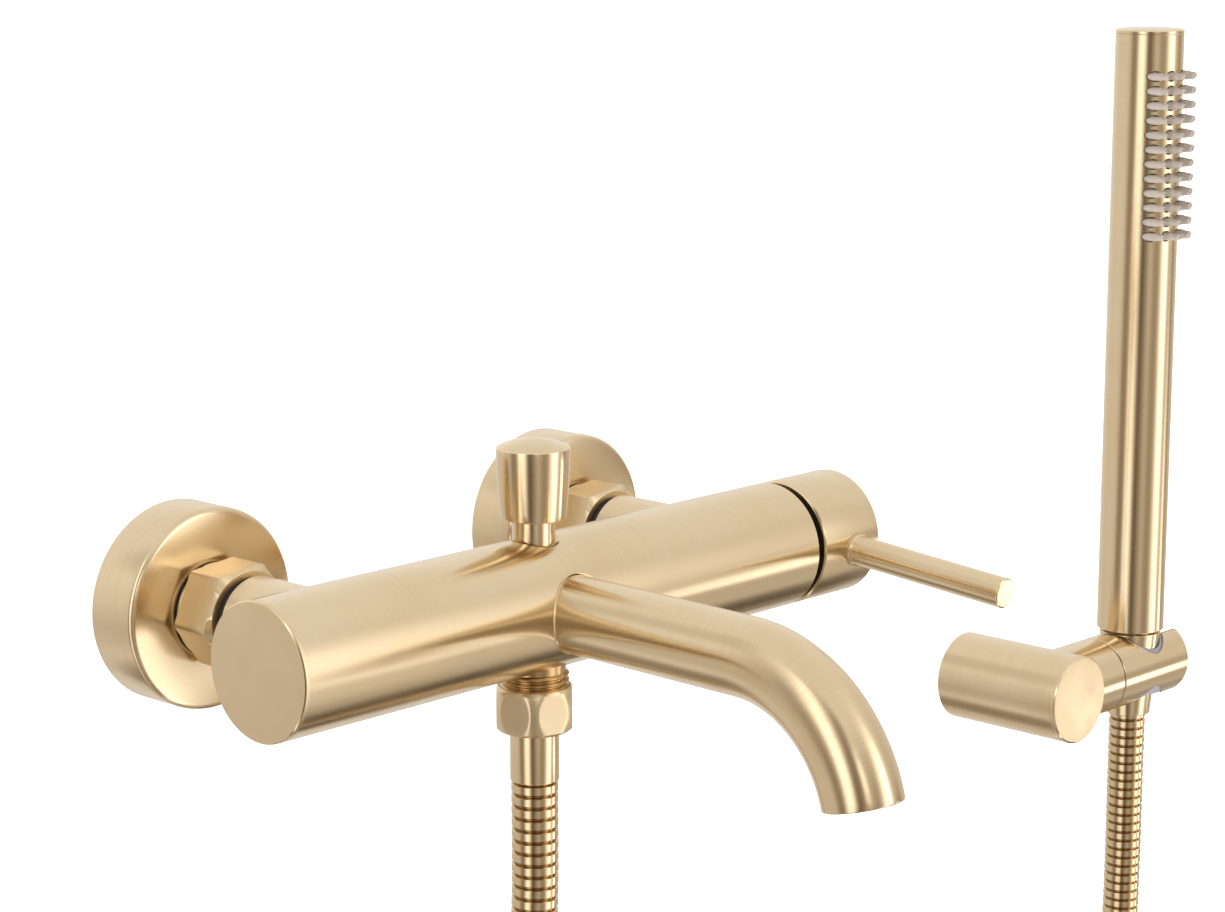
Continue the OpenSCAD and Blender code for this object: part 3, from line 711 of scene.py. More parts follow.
@dataclass(frozen=True)
class Extent:
    """A CAD node's box along the axis of a turned piece: its start in metres, its length and radius in mm."""

    start: Vector
    length: float
    radius: float

    @classmethod
    def of(cls, node: str, facing: Facing) -> "Extent":
        """Measures a node's box.

        Args:
            node: the CAD node's name.
            facing: where the axis points.

        Returns:
            The extent, whose start is on the axis.
        """
        low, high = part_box(node)
        size, start = (high - low) / MM, (low + high) / 2
        if facing is Facing.RIGHT:
            start.x = low.x
            return cls(start, size.x, size.z / 2)
        if facing is Facing.FRONT:
            start.y = high.y
            return cls(start, size.y, size.x / 2)
        start.z = low.z
        return cls(start, size.z, size.x / 2)


@dataclass
class SubAssembly:
    """A group of pieces that are built and dressed together."""

    made: list[bpy.types.Object] = field(default_factory=list)

    def turn(self, name: str, node: str, body: str, facing: Facing, outline: Sequence[Corner],
             look: str = "brushed_gold", slot: str = "brushed_gold", **options: Any) -> None:
        """Turns a piece from the start of a CAD node's box and puts it in that node's place.

        Args:
            name: the piece's name.
            node: the CAD node that it stands for.
            body: the body that it rides on.
            facing: where its axis points.
            outline: its outline.
            look: its finish.
            slot: its slot in the record; it is passed on but not used.
            **options: what turned() takes besides.
        """
        piece = turned(name, outline, facing, Extent.of(node, facing).start, look, **options)
        self.keep(piece, body, slot, node)

    def keep(self, piece: bpy.types.Object, body: str, slot: str, *nodes: str) -> bpy.types.Object:
        """Rides a piece on its body, hides the CAD nodes that it stands for and reports it."""
        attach(piece, body)
        self.hand_over(piece, slot, *nodes)
        return piece

    def hand_over(self, piece: bpy.types.Object, slot: str, *nodes: str) -> None:
        """Hides the CAD nodes that a piece stands for and reports the piece."""
        if nodes:
            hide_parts(*nodes)
        self.made.append(piece)
        LOG.info("%s: %d faces", piece.name, len(piece.data.polygons))


@dataclass
class Studio:
    """The camera, a pale floor and soft light from all round with a few brighter and darker screens."""

    camera_at: tuple[float, float, float] = (-0.62166, -0.69128, 0.21634)
    camera_pitch: float = -11.288
    camera_turn: float = -46.66
    lens: float = 90.74
    sensor: float = 36.0
    sight: float = 200.0
    floor_below: float = 0.02
    floor_size: float = 60.0
    floor_glow: float = 0.75
    ceiling_from: float = 12.0
    ceiling_full: float = 50.0
    ceiling_light: float = 1.0
    warm_below: float = 0.25
    cool_above: float = 0.9

    def build(self) -> None:
        """Makes the camera, the floor and the light."""
        self.make_camera()
        self.make_floor()
        self.make_light()

    def make_camera(self) -> None:
        """Makes the camera."""
        data = bpy.data.cameras.new("camera")
        data.sensor_width, data.lens, data.clip_end = self.sensor, self.lens, self.sight
        camera = place_object("camera", data)
        camera.location = self.camera_at
        camera.rotation_euler = (math.radians(90 + self.camera_pitch), 0, math.radians(self.camera_turn))
        bpy.context.scene.camera = camera

    def make_floor(self) -> None:
        """Makes a large pale floor that metal doesn't mirror, so that it stays a plain background."""
        half, z = self.floor_size / 2, CAD_BOX[0].z - self.floor_below
        mesh = bpy.data.meshes.new("floor")
        corners = [(-half, -half, z), (half, -half, z), (half, half, z), (-half, half, z)]
        mesh.from_pydata(corners, [], [(0, 1, 2, 3)])
        material, tree, shader = new_material("white_painted_floor")
        shader.inputs["Base Color"].default_value = linear("#F4F4F4")
        shader.inputs["Roughness"].default_value = 0.9
        shader.inputs["Emission Color"].default_value = linear("#FFFFFF")
        shader.inputs["Emission Strength"].default_value = self.floor_glow
        mesh.materials.append(material)
        floor = place_object("floor", mesh)
        floor.visible_glossy = False

    def make_light(self) -> None:
        """Makes the surrounding light: a soft base with screens, each with its bearing, height and brightness."""
        world = bpy.data.worlds.new("studio")
        world.use_nodes = True
        bpy.context.scene.world = world
        tree = world.node_tree
        tree.nodes.clear()
        ray = add(tree, "ShaderNodeTexCoord").outputs["Generated"]
        x, y, z = add(tree, "ShaderNodeSeparateXYZ", {0: ray}).outputs
        bearing = calculate(tree, "ARCTAN2", x, calculate(tree, "MULTIPLY", y, -1.0))
        height = calculate(tree, "ARCSINE", z)
        around = profile(tree, bearing, 180, LIGHT_AROUND)
        upwards = profile(tree, height, 90, LIGHT_UPWARDS)
        start, full = math.radians(self.ceiling_from), math.radians(self.ceiling_full)
        ceiling = add(tree, "ShaderNodeMapRange", {0: height, 1: start, 2: full}, interpolation_type="SMOOTHSTEP")
        panels = add(tree, "ShaderNodeMix", {0: ceiling.outputs[0], 2: around, 3: self.ceiling_light}).outputs[0]
        total = calculate(tree, "MULTIPLY", panels, upwards)
        for card in CARDS:
            share = card.share(tree, bearing, height)
            total = add(tree, "ShaderNodeMix", {0: share, 2: total, 3: card.light}).outputs[0]
        warmth = add(tree, "ShaderNodeMapRange", {0: total, 1: self.warm_below, 2: self.cool_above}).outputs[0]
        colour = blend_colours(tree, warmth, "#FFEBD2", "#FFFDFB")
        glow = add(tree, "ShaderNodeBackground", {"Color": colour, "Strength": total})
        add(tree, "ShaderNodeOutputWorld", {"Surface": glow.outputs[0]})


def profile(tree: bpy.types.NodeTree, angle: Any, reach: float, points: Sequence[tuple[float, float]]) -> Any:
    """A smooth curve of brightness over an angle.

    Args:
        tree: the node tree.
        angle: the socket with the angle in radians.
        reach: the angle at each end of the curve, in degrees.
        points: pairs of an angle in degrees and the brightness there.

    Returns:
        The output socket.
    """
    low, high = -math.radians(reach), math.radians(reach)
    share = add(tree, "ShaderNodeMapRange", {0: angle, 1: low, 2: high}).outputs[0]
    ramp = add(tree, "ShaderNodeValToRGB", {0: share})
    stops = ramp.color_ramp.elements
    stops.remove(stops[1])
    for i, (degrees, light) in enumerate(points):
        where = (degrees + reach) / reach / 2
        stop = stops[0] if i == 0 else stops.new(where)
        stop.position = where
        stop.color = (*[light / BRIGHTEST] * 3, 1)
    return calculate(tree, "MULTIPLY", ramp.outputs[0], BRIGHTEST)


@dataclass(frozen=True)
class Card:
    """A card before the studio's panels, by the direction of its middle and its size in degrees."""

    bearing: float
    half_width: float
    height: float
    half_height: float
    light: float
    softness: float = 3.0

    def share(self, tree: bpy.types.NodeTree, bearing: Any, height: Any) -> Any:
        """The socket that says how much of the card lies in each direction."""
        shares = []
        for angle, middle_angle, half in (
                (bearing, self.bearing, self.half_width), (height, self.height, self.half_height)):
            away = calculate(tree, "ABSOLUTE", calculate(tree, "SUBTRACT", angle, math.radians(middle_angle)))
            near, far = math.radians(half - self.softness), math.radians(half + self.softness)
            shares.append(add(tree, "ShaderNodeMapRange", {0: away, 1: near, 2: far, 3: 1.0, 4: 0.0},
                              interpolation_type="SMOOTHSTEP").outputs[0])
        return calculate(tree, "MULTIPLY", *shares)


BRIGHTEST = 3.0
LIGHT_AROUND = (
    (-180, 1.0), (-171, 0.97), (-149, 1.0), (-130, 0.98), (-121, 0.8), (-114, 0.45), (-104, 0.38), (-99, 0.5),
    (-93, 1.1), (-88, 1.9), (-80, 2.2), (-74, 1.9), (-68, 1.2), (-62, 0.35), (-55, 0.15), (-47, 0.35), (-29, 0.8),
    (-14, 0.52), (-5, 0.48), (2, 0.66), (9, 1.15), (17, 2.2), (25, 3.0), (33, 2.8), (38, 1.5), (43, 0.9), (58, 0.7),
    (83, 0.8), (110, 0.95), (150, 1.05), (180, 1.0))
LIGHT_UPWARDS = (
    (-90, 0.5), (-60, 0.6), (-46, 0.75), (-36, 0.85), (-28, 0.74), (-18, 0.7), (-8, 0.82), (3, 0.92), (20, 1.0),
    (38, 0.95), (60, 0.92), (90, 0.88))
CARDS = (
    Card(94, 20, -48, 11, 0.08, 4), Card(62, 12, -6, 6, 0.35, 4), Card(58, 5.5, -17, 4.5, 3.8, 2.5),
    Card(-36, 8, 17, 8, 2.2, 4), Card(-84, 7, 28, 22, 2.4, 5), Card(-52, 11, 27, 20, 0.25, 6),
    Card(-138, 14, 40, 12, 0.7, 8), Card(-160, 22, -50, 9, 0.3, 6))


@dataclass
class Hose(SubAssembly):
    """The metal hose: interlocked strip in rings round a free route with a tied coil, in metres."""

    radius: float = 0.007
    length: float = 1.75
    ring_pitch: float = 0.0035
    groove: float = 0.0008
    groove_end: float = 1.5
    samples: int = 8
    sides: int = 20
    drop: tuple = (
        (-0.0075, -0.0805, -0.0526), (-0.0075, -0.0805, -0.08), (-0.0075, -0.0805, -0.105),
        (-0.002, -0.0805, -0.136), (0.014, -0.0805, -0.168), (0.039, -0.0805, -0.199), (0.07, -0.08, -0.23),
        (0.101, -0.08, -0.262), (0.127, -0.08, -0.293), (0.144, -0.079, -0.324), (0.15, -0.079, -0.355))
    rise: tuple = (
        (0.29, -0.043, -0.355), (0.291, -0.043, -0.336), (0.296, -0.043, -0.316), (0.305, -0.042, -0.297),
        (0.319, -0.041, -0.279), (0.334, -0.04, -0.262), (0.348, -0.039, -0.244), (0.358, -0.038, -0.225),
        (0.363, -0.038, -0.206), (0.364, -0.038, -0.181), (0.364, -0.038, -0.15), (0.364, -0.038, -0.12),
        (0.364, -0.038, -0.085), (0.364, -0.038, -0.048))
    coil_turns: float = 2.5
    coil_points: int = 20
    tie_thickness: float = 0.0011
    tie_roundness: tuple[float, float] = (0.35, 0.55)
    bend_start: tuple[float, float, float] = (0.364, -0.038, -0.175)
    bend_end: tuple[float, float, float] = (0.390, -0.038, -0.123)

    def coil(self) -> list[tuple[float, float, float]]:
        """The points of the coil's turns between the drop and the rise, without its two ends."""
        start, end = Vector(self.drop[-1]), Vector(self.rise[0])
        centre, reach = (start + end) / 2, (end.x - start.x) / 2
        count = round(self.coil_turns * self.coil_points)
        points = []
        for i in range(1, count):
            turn = math.pi + math.tau * self.coil_turns * i / count
            y = start.y + (end.y - start.y) * i / count
            points.append((centre.x + reach * math.cos(turn), y, centre.z + reach * math.sin(turn)))
        return points

    def tree(self) -> bpy.types.NodeTree:
        """The tree that sweeps a ringed tube along a curve and marks its grooves for painted shade."""
        tree, sizes = new_tree("ringed hose", {
            "Ring pitch": "NodeSocketFloat", "Outer radius": "NodeSocketFloat", "Groove depth": "NodeSocketFloat",
            "Samples": "NodeSocketInt", "Sides": "NodeSocketInt"})
        step = calculate(tree, "DIVIDE", sizes["Ring pitch"], sizes["Samples"])
        line = add(tree, "GeometryNodeResampleCurve", {"Curve": sizes["Geometry"], "Length": step}, mode="LENGTH")
        number = add(tree, "GeometryNodeInputIndex").outputs[0]
        band = calculate(tree, "GREATER_THAN", calculate(tree, "MODULO", number, sizes["Samples"]), self.groove_end)
        low = calculate(tree, "SUBTRACT", sizes["Outer radius"], sizes["Groove depth"])
        radius = add(tree, "ShaderNodeMapRange", {0: band, 3: low, 4: sizes["Outer radius"]}).outputs[0]
        circle = add(tree, "GeometryNodeCurvePrimitiveCircle", {"Resolution": sizes["Sides"], "Radius": 1.0})
        # the groove mask stored here darkens the grooves in the material: painted shade
        groove_shade_marked = add(tree, "GeometryNodeStoreNamedAttribute", {
            "Geometry": line.outputs[0], "Name": GROOVE_SHADE_NAME, "Value": calculate(tree, "SUBTRACT", 1.0, band)},
            domain="POINT")
        tube = add(tree, "GeometryNodeCurveToMesh", {
            "Curve": groove_shade_marked.outputs[0], "Profile Curve": circle.outputs[0], "Scale": radius, "Fill Caps": True})
        end_tree(tree, tube.outputs[0], "hose_gold")
        return tree

    def build(self) -> None:
        """Makes the hose and its tie."""
        path = smooth_line([*self.drop, *self.coil(), *self.rise], 0.002)
        curve = bpy.data.curves.new("hose_route", "CURVE")
        curve.dimensions = "3D"
        spline = curve.splines.new("POLY")
        spline.points.add(len(path) - 1)
        spline.points.foreach_set("co", np.column_stack([path, np.ones(len(path))]).ravel())
        hose = run_tree("hose", self.tree(), curve, {
            "Ring pitch": self.ring_pitch, "Outer radius": self.radius, "Groove depth": self.groove,
            "Samples": self.samples, "Sides": self.sides})
        hose.data.set_sharp_from_angle(angle=SHARP_ANGLE)
        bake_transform(hose)
        self.hand_over(hose, "hose_gold", "hose_drop", "hose_coil", "hose_rise", "hose_end")
        self.tie()

    def tie(self) -> bpy.types.Object:
        """Makes the soft tie round the coil's turns at its top."""
        low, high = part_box("hose_tie")
        centre, half = (low + high) / 2, (high - low) / 2
        thick, wide, sides, rows = self.tie_thickness, half.x, 64, 5
        verts, faces = [], []
        for layer in (0, 1):
            for row in range(rows):
                x = centre.x + wide * (2 * row / (rows - 1) - 1)
                for k in range(sides):
                    turn = math.tau * k / sides
                    c, s = math.cos(turn), math.sin(turn)
                    dy = math.copysign(abs(c) ** self.tie_roundness[0], c) * (half.y - thick * layer)
                    dz = math.copysign(abs(s) ** self.tie_roundness[1], s) * (half.z - thick * layer)
                    verts.append((x, centre.y + dy, centre.z + dz))
        grid = rows * sides
        for k in range(sides):
            n = (k + 1) % sides
            for row in range(rows - 1):
                a, b = row * sides, (row + 1) * sides
                faces += [(a + k, b + k, b + n, a + n), (grid + a + k, grid + a + n, grid + b + n, grid + b + k)]
            last = (rows - 1) * sides
            faces += [(k, n, grid + n, grid + k), (last + k, grid + last + k, grid + last + n, last + n)]
        uvs = [[(verts[v][1] / half.y, verts[v][0]) for v in face] for face in faces]
        tie = make_piece("hose_tie_strap", verts, faces, uvs, ("tie_black",), [0] * len(faces), flip=True)
        return self.keep(tie, "root", "tie_black", "hose_tie")


@dataclass
class WallUnions(SubAssembly):
    """The two cover plates and the two union nuts, in millimetres."""

    plate_edge: float = 1.8
    plate_wall: float = 1.2
    nut_flats: float = 28.0
    nut_turn: float = 36.0
    nut_soft: float = 0.22
    nut_chamfer: float = 1.3
    nut_roof: float = 2.8
    nut_bore: float = 13.3
    neck_r: float = 9.8
    shadow_ring_t: float = 0.6
    seal_gap: float = 0.15

    def build(self) -> None:
        """Makes a plate, a nut and three rings on each side."""
        for side in ("left", "right"):
            self.plate(side)
            self.nut(side)
            self.seals(side)

    def plate(self, side: str) -> None:
        """Makes a cover plate: a dished round cover with a soft front edge and a rolled hole."""
        node = f"escutcheon_{side}"
        box, hole, wall = Extent.of(node, Facing.FRONT), self.nut_bore, self.plate_wall
        r, depth = box.radius, box.length
        outline = (
            Corner(r - wall, 0), Corner(r, 0, 0.25), Corner(r, depth, self.plate_edge), Corner(hole, depth, ROUNDED),
            Corner(hole, depth - wall, ROUNDED), Corner(r - wall, depth - wall, 0.8))
        self.turn(f"cover_plate_{side}", node, "root", Facing.FRONT, outline, sides=160, closed=True)

    def nut(self, side: str) -> None:
        """Makes a union nut: a hexagon turned down at both ends, with soft edges."""
        node = f"union_nut_{side}"
        length, roof = Extent.of(node, Facing.FRONT).length, self.nut_roof
        flat, corner = self.nut_flats / 2, self.nut_flats / math.sqrt(3) - 0.2
        outline = (
            Corner(self.nut_bore, 0, EASED), Corner(corner, 0, 0.25), Corner(corner, length - self.nut_chamfer, SOFT),
            Corner(flat - 0.3, length, SOFT), Corner(self.neck_r, length, SOFT), Corner(self.neck_r, length - roof),
            Corner(self.nut_bore, length - roof))
        shape = hexagon(self.nut_flats, self.nut_soft, self.nut_turn)
        self.turn(f"hex_nut_{side}", node, "root", Facing.FRONT, outline, "satin_gold", sides=240, shape=shape,
                  closed=True)

    def seals(self, side: str) -> None:
        """Makes the dark ring on the plate, a dark piece put as painted shade where the nut meets the plate, the dark
        seal on the body's boss, and the gold spacer behind the nut.
        """
        low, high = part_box(f"union_nut_{side}")
        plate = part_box(f"escutcheon_{side}")[0].y
        x, z = (low.x + high.x) / 2, (low.z + high.z) / 2
        spacer = (plate - high.y) / MM - self.seal_gap - self.shadow_ring_t
        rings = (
            # painted shade: the black ring on the plate stands for the contact shadow between the plate and the nut
            ("plate_seal", plate, self.shadow_ring_t, self.nut_bore, 13.8, "black_rubber", "black_rubber"),
            ("spacer", plate - self.shadow_ring_t * MM, spacer, self.nut_bore, 13.95, "satin_gold", "brushed_gold"),
            ("neck_seal", low.y, 1.9, 9.55, 11.6, "black_rubber", "black_rubber"))
        for name, start, length, inner, outer, look, slot in rings:
            outline = (
                Corner(inner, 0.05), Corner(outer, 0.05, ROUNDED), Corner(outer, length, ROUNDED),
                Corner(inner, length))
            ring = turned(f"{name}_{side}", outline, Facing.FRONT, Vector((x, start, z)), look, 72, closed=True)
            self.keep(ring, "root", slot)


@dataclass
class Body(SubAssembly):
    """The round body with its two inlet bosses, its left end and the trim ring behind the handle."""

    boss_r: float = 12.8
    end_chamfer: float = 0.4
    end_rim: float = 3.5
    neck_r: float = 13.0
    neck_wall: float = 1.8
    flange_r: float = 16.4
    flange_t: float = 2.4

    def axis(self) -> Vector:
        """A point on the body's axis at the middle of the mixer."""
        low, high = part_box("mixer_body")
        return Vector((0, low.y + (high.z - low.z) / 2, (low.z + high.z) / 2))

    def on_axis(self, x: float) -> Vector:
        """The point on the body's axis at x."""
        axis = self.axis()
        return Vector((x, axis.y, axis.z))

    def radius(self) -> float:
        """The body's radius in metres, which is half of its box's height."""
        low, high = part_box("mixer_body")
        return (high.z - low.z) / 2

    def build(self) -> None:
        """Makes the body, its end and the trim ring."""
        rounds = [Round(Facing.RIGHT, self.axis(), self.radius())]
        for side in ("left", "right"):
            rounds.append(Round(Facing.FRONT, Vector((middle(f"escutcheon_{side}").x, 0, 0)), self.boss_r * MM))
        self.keep(finished_copy("mixer_body", rounds), "root", "brushed_gold", "mixer_body")
        self.end(self.radius() / MM)
        self.trim_ring()

    def end(self, r: float) -> None:
        """Makes the flat left end with its polished chamfer."""
        box, cut, rim = Extent.of("end_plug", Facing.RIGHT), self.end_chamfer, r - self.end_rim
        thick = (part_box("mixer_body")[0].x - box.start.x) / MM
        outline = (
            Corner(0, 0), Corner(r - cut, 0, CRISP, True), Corner(r, cut, CRISP), Corner(r, thick),
            Corner(rim, thick), Corner(rim, box.length), Corner(0, box.length))
        end = turned("body_end", outline, Facing.RIGHT, self.on_axis(box.start.x), "satin_gold", 160)
        self.keep(end, "root", "brushed_gold", "end_plug")

    def trim_ring(self) -> None:
        """Makes the neck between the body and the handle, which shows as a dark groove."""
        box, r = Extent.of("neck_ring", Facing.RIGHT), self.neck_r
        length, at = box.length, self.on_axis(box.start.x)
        outline = (
            Corner(r - self.neck_wall, 0), Corner(self.flange_r, 0, EASED), Corner(self.flange_r, self.flange_t, EASED),
            Corner(r, self.flange_t), Corner(r, length, ROUNDED), Corner(r - self.neck_wall, length, SOFT))
        ring = turned("neck_trim", outline, Facing.RIGHT, at, "black_plastic", closed=True)
        self.keep(ring, "root", "black_plastic", "neck_ring")


@dataclass
class Handle(SubAssembly):
    """The round handle cap and its pin lever, in millimetres."""

    wall: float = 2.5
    depth: float = 3.0
    edge: float = 0.55
    lever_r: float = 4.65
    lever_fall: float = 4.5
    lever_root: float = 1.2
    foot_width: float = 0.5
    foot_height: float = 2.4

    def build(self) -> None:
        """Makes the cap and the lever."""
        low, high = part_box("handle_cap")
        r, length, edge = (high.z - low.z) / 2 / MM, (high.x - low.x) / MM, self.edge
        bore, body = r - self.wall, Body()
        outline = (
            Corner(0, self.depth), Corner(bore, self.depth, SOFT), Corner(bore, 0, EASED),
            Corner(r - edge, 0, 0.12, True), Corner(r, edge, 0.12), Corner(r, length - edge, FINE, True),
            Corner(r - edge, length, FINE), Corner(0, length))
        cap = turned("handle_round_cap", outline, Facing.RIGHT, body.on_axis(low.x), sides=160)
        self.keep(cap, "handle", "brushed_gold", "handle_cap")
        self.lever(body.axis(), r)

    def lever(self, axis: Vector, cap_r: float) -> None:
        """Makes the lever with a low foot on the cap and a soft edge at its end."""
        tilt, r, foot_r = math.radians(self.lever_fall), self.lever_r, self.lever_r + self.foot_width
        reach = ((axis.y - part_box("lever")[0].y) / MM - r * math.sin(tilt)) / math.cos(tilt)
        start, foot = cap_r - self.lever_root, cap_r - self.lever_root + self.foot_height
        outline = (
            Corner(0, start), Corner(foot_r, start), Corner(foot_r, foot, SOFT), Corner(r, foot + 0.5, EASED),
            Corner(r, reach - 0.3, 0.35, True), Corner(r - 0.5, reach, EASED), Corner(0, reach))
        piece = turned("pin_lever", outline, Facing.FRONT, Vector((middle("lever").x, 0, 0)), sides=72)
        piece.data.transform(Matrix.Translation((0, axis.y, axis.z)) @ Matrix.Rotation(tilt, 4, "X"))
        self.keep(piece, "handle", "brushed_gold", "lever")


@dataclass
class Spout(SubAssembly):
    """The bath spout: a tube with one bend, a soft lip, and the joint where it meets the body, in millimetres."""

    wall: float = 1.5
    straight: float = 81.0
    bend_radius: float = 43.0
    bend: float = 76.0
    fall: float = 0.6
    lip: float = 0.45
    root: float = 3.0
    inside: float = 22.0
    sides: int = 96
    bead: float = 0.45
    bead_sides: int = 10
    bead_turns: int = 160

    def build(self) -> None:
        """Makes the spout and the soft joint round its root."""
        axis, body_r = Body().axis(), Body().radius() / MM
        low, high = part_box("spout_tube")
        radius, x = (high.x - low.x) / 2 / MM, (low.x + high.x) / 2
        self.tube(x, axis, radius, body_r)
        self.joint(x, axis, radius, body_r)

    def centre_line(self, way: float) -> tuple[float, float, float]:
        """The distance from the body's axis, the drop and the direction in radians below level at a way along."""
        if way <= self.straight:
            return way, 0.0, 0.0
        turn = (way - self.straight) / self.bend_radius
        reach = self.straight + self.bend_radius * math.sin(turn)
        return reach, self.bend_radius * (1 - math.cos(turn)), turn

    def stations(self, radius: float, body_r: float) -> list[tuple[float, float]]:
        """The way along and the radius of each ring: the outside, the lip and a stretch of the inside."""
        end = self.straight + self.bend_radius * math.radians(self.bend)
        bore, lip = radius - self.wall, self.lip
        ways = [(body_r - self.root, radius)]
        ways += [(w, radius) for w in np.linspace(body_r, self.straight, 12)]
        ways += [(w, radius) for w in np.linspace(self.straight, end - lip, 40)[1:]]
        for k in range(1, 5):
            turn = math.pi / 2 * k / 4
            ways.append((end - lip + lip * math.sin(turn), radius - lip + lip * math.cos(turn)))
        ways += [(end, bore + 0.3), (end - 0.3, bore)]
        return ways + [(w, bore) for w in np.linspace(end - 1, end - self.inside, 8)]

    def tube(self, x: float, axis: Vector, radius: float, body_r: float) -> None:
        """Makes the tube with its outside, its lip and a stretch of its inside."""
        ways = self.stations(radius, body_r)
        verts, lengths, length = [], [], 0.0
        for i, (way, r) in enumerate(ways):
            reach, drop, turn = self.centre_line(way)
            if i:
                length += math.hypot(way - ways[i - 1][0], r - ways[i - 1][1]) * MM
            lengths.append(length)
            for k in range(self.sides):
                angle = math.tau * k / self.sides
                up = r * math.sin(angle)
                verts.append((
                    x + r * math.cos(angle) * MM,
                    -(reach + up * math.sin(turn)) * MM,
                    (up * math.cos(turn) - drop) * MM))
        rings = [i * self.sides for i in range(len(ways))]
        faces, uvs, kinds = rings_to_faces(rings, lengths, [False] * len(rings), self.sides)
        spout = make_piece("bath_spout", verts, faces, uvs, ("brushed_gold",), kinds)
        fall = Matrix.Rotation(math.radians(self.fall), 4, "X")
        spout.data.transform(Matrix.Translation((0, axis.y, axis.z)) @ fall)
        self.keep(spout, "root", "brushed_gold", "spout_tube")

    def joint(self, x: float, axis: Vector, radius: float, body_r: float) -> None:
        """Makes the thin soft bead along the line where the spout's tube enters the round body."""
        sides, turns = self.bead_sides, self.bead_turns
        verts, faces, uvs = [], [], []
        for i in range(turns):
            around = math.tau * i / turns
            across, up = radius * math.cos(around), radius * math.sin(around)
            centre = Vector((across, -math.sqrt(body_r ** 2 - up ** 2), up))
            out = Vector((math.cos(around), 0, math.sin(around)))
            away = Vector((0, centre.y, centre.z)).normalized()
            for k in range(sides):
                turn = math.tau * k / sides
                point = centre + self.bead * (math.cos(turn) * out + math.sin(turn) * away)
                verts.append((x + point.x * MM, axis.y + point.y * MM, axis.z + point.z * MM))
                a, b, n = i * sides, (i + 1) % turns * sides, (k + 1) % sides
                faces.append((a + k, a + n, b + n, b + k))
                u0, u1, v0, v1 = i / turns, (i + 1) / turns, k * MM, (k + 1) * MM
                uvs.append(((u0, v0), (u0, v1), (u1, v1), (u1, v0)))
        bead = make_piece("spout_joint", verts, faces, uvs, ("brushed_gold",), [0] * len(faces))
        self.keep(bead, "root", "brushed_gold")


@dataclass
class Diverter(SubAssembly):
    """The diverter's fixed collar and its knob, in millimetres."""

    rim: float = 0.3
    collar_bore: float = 4.5
    rod_hole: float = 2.7
    roof: float = 3.0
    knob_low: float = 9.6
    knob_dome: float = 2.8
    knob_bore: float = 6.55
    knob_depth: float = 15.6
    flare: float = 1.8

    def build(self) -> None:
        """Makes the collar and the knob."""
        box = Extent.of("diverter_collar", Facing.UP)
        r, height, bore, hole = box.radius, box.length, self.collar_bore, self.rod_hole
        outline = (
            Corner(bore, 0), Corner(r, 0, SOFT), Corner(r, height, ROUNDED), Corner(hole, height, CRISP),
            Corner(hole, height - self.roof), Corner(bore, height - self.roof))
        self.turn("fixed_collar", "diverter_collar", "root", Facing.UP, outline, sides=72, closed=True)
        self.knob()

    def knob(self) -> None:
        """Makes the knob: it widens upwards in a faint curve and has a crisp rim and a low dome."""
        box, low_r, dome = Extent.of("diverter_knob", Facing.UP), self.knob_low, self.knob_dome
        top_r, height, seat, rod = box.radius, box.length, self.knob_depth, 2.6
        shoulder = height - dome
        outline = [
            Corner(0, seat + self.roof), Corner(rod, seat + self.roof), Corner(rod, seat),
            Corner(self.knob_bore, seat, SOFT), Corner(self.knob_bore, 0, EASED), Corner(low_r, 0, 0.5)]
        for k in range(1, 8):
            t = k / 8
            outline.append(Corner(low_r + (top_r - low_r) * (1 - (1 - t) ** self.flare), shoulder * t, 0.5))
        outline.append(Corner(top_r, shoulder, self.rim, True))
        sphere = (top_r ** 2 + dome ** 2) / 2 / dome
        for k in range(7, 0, -1):
            r = top_r * k / 7.2
            outline.append(Corner(r, height - sphere + math.sqrt(sphere ** 2 - r ** 2)))
        outline.append(Corner(0, height))
        self.turn("pull_knob", "diverter_knob", "diverter", Facing.UP, outline, sides=120)


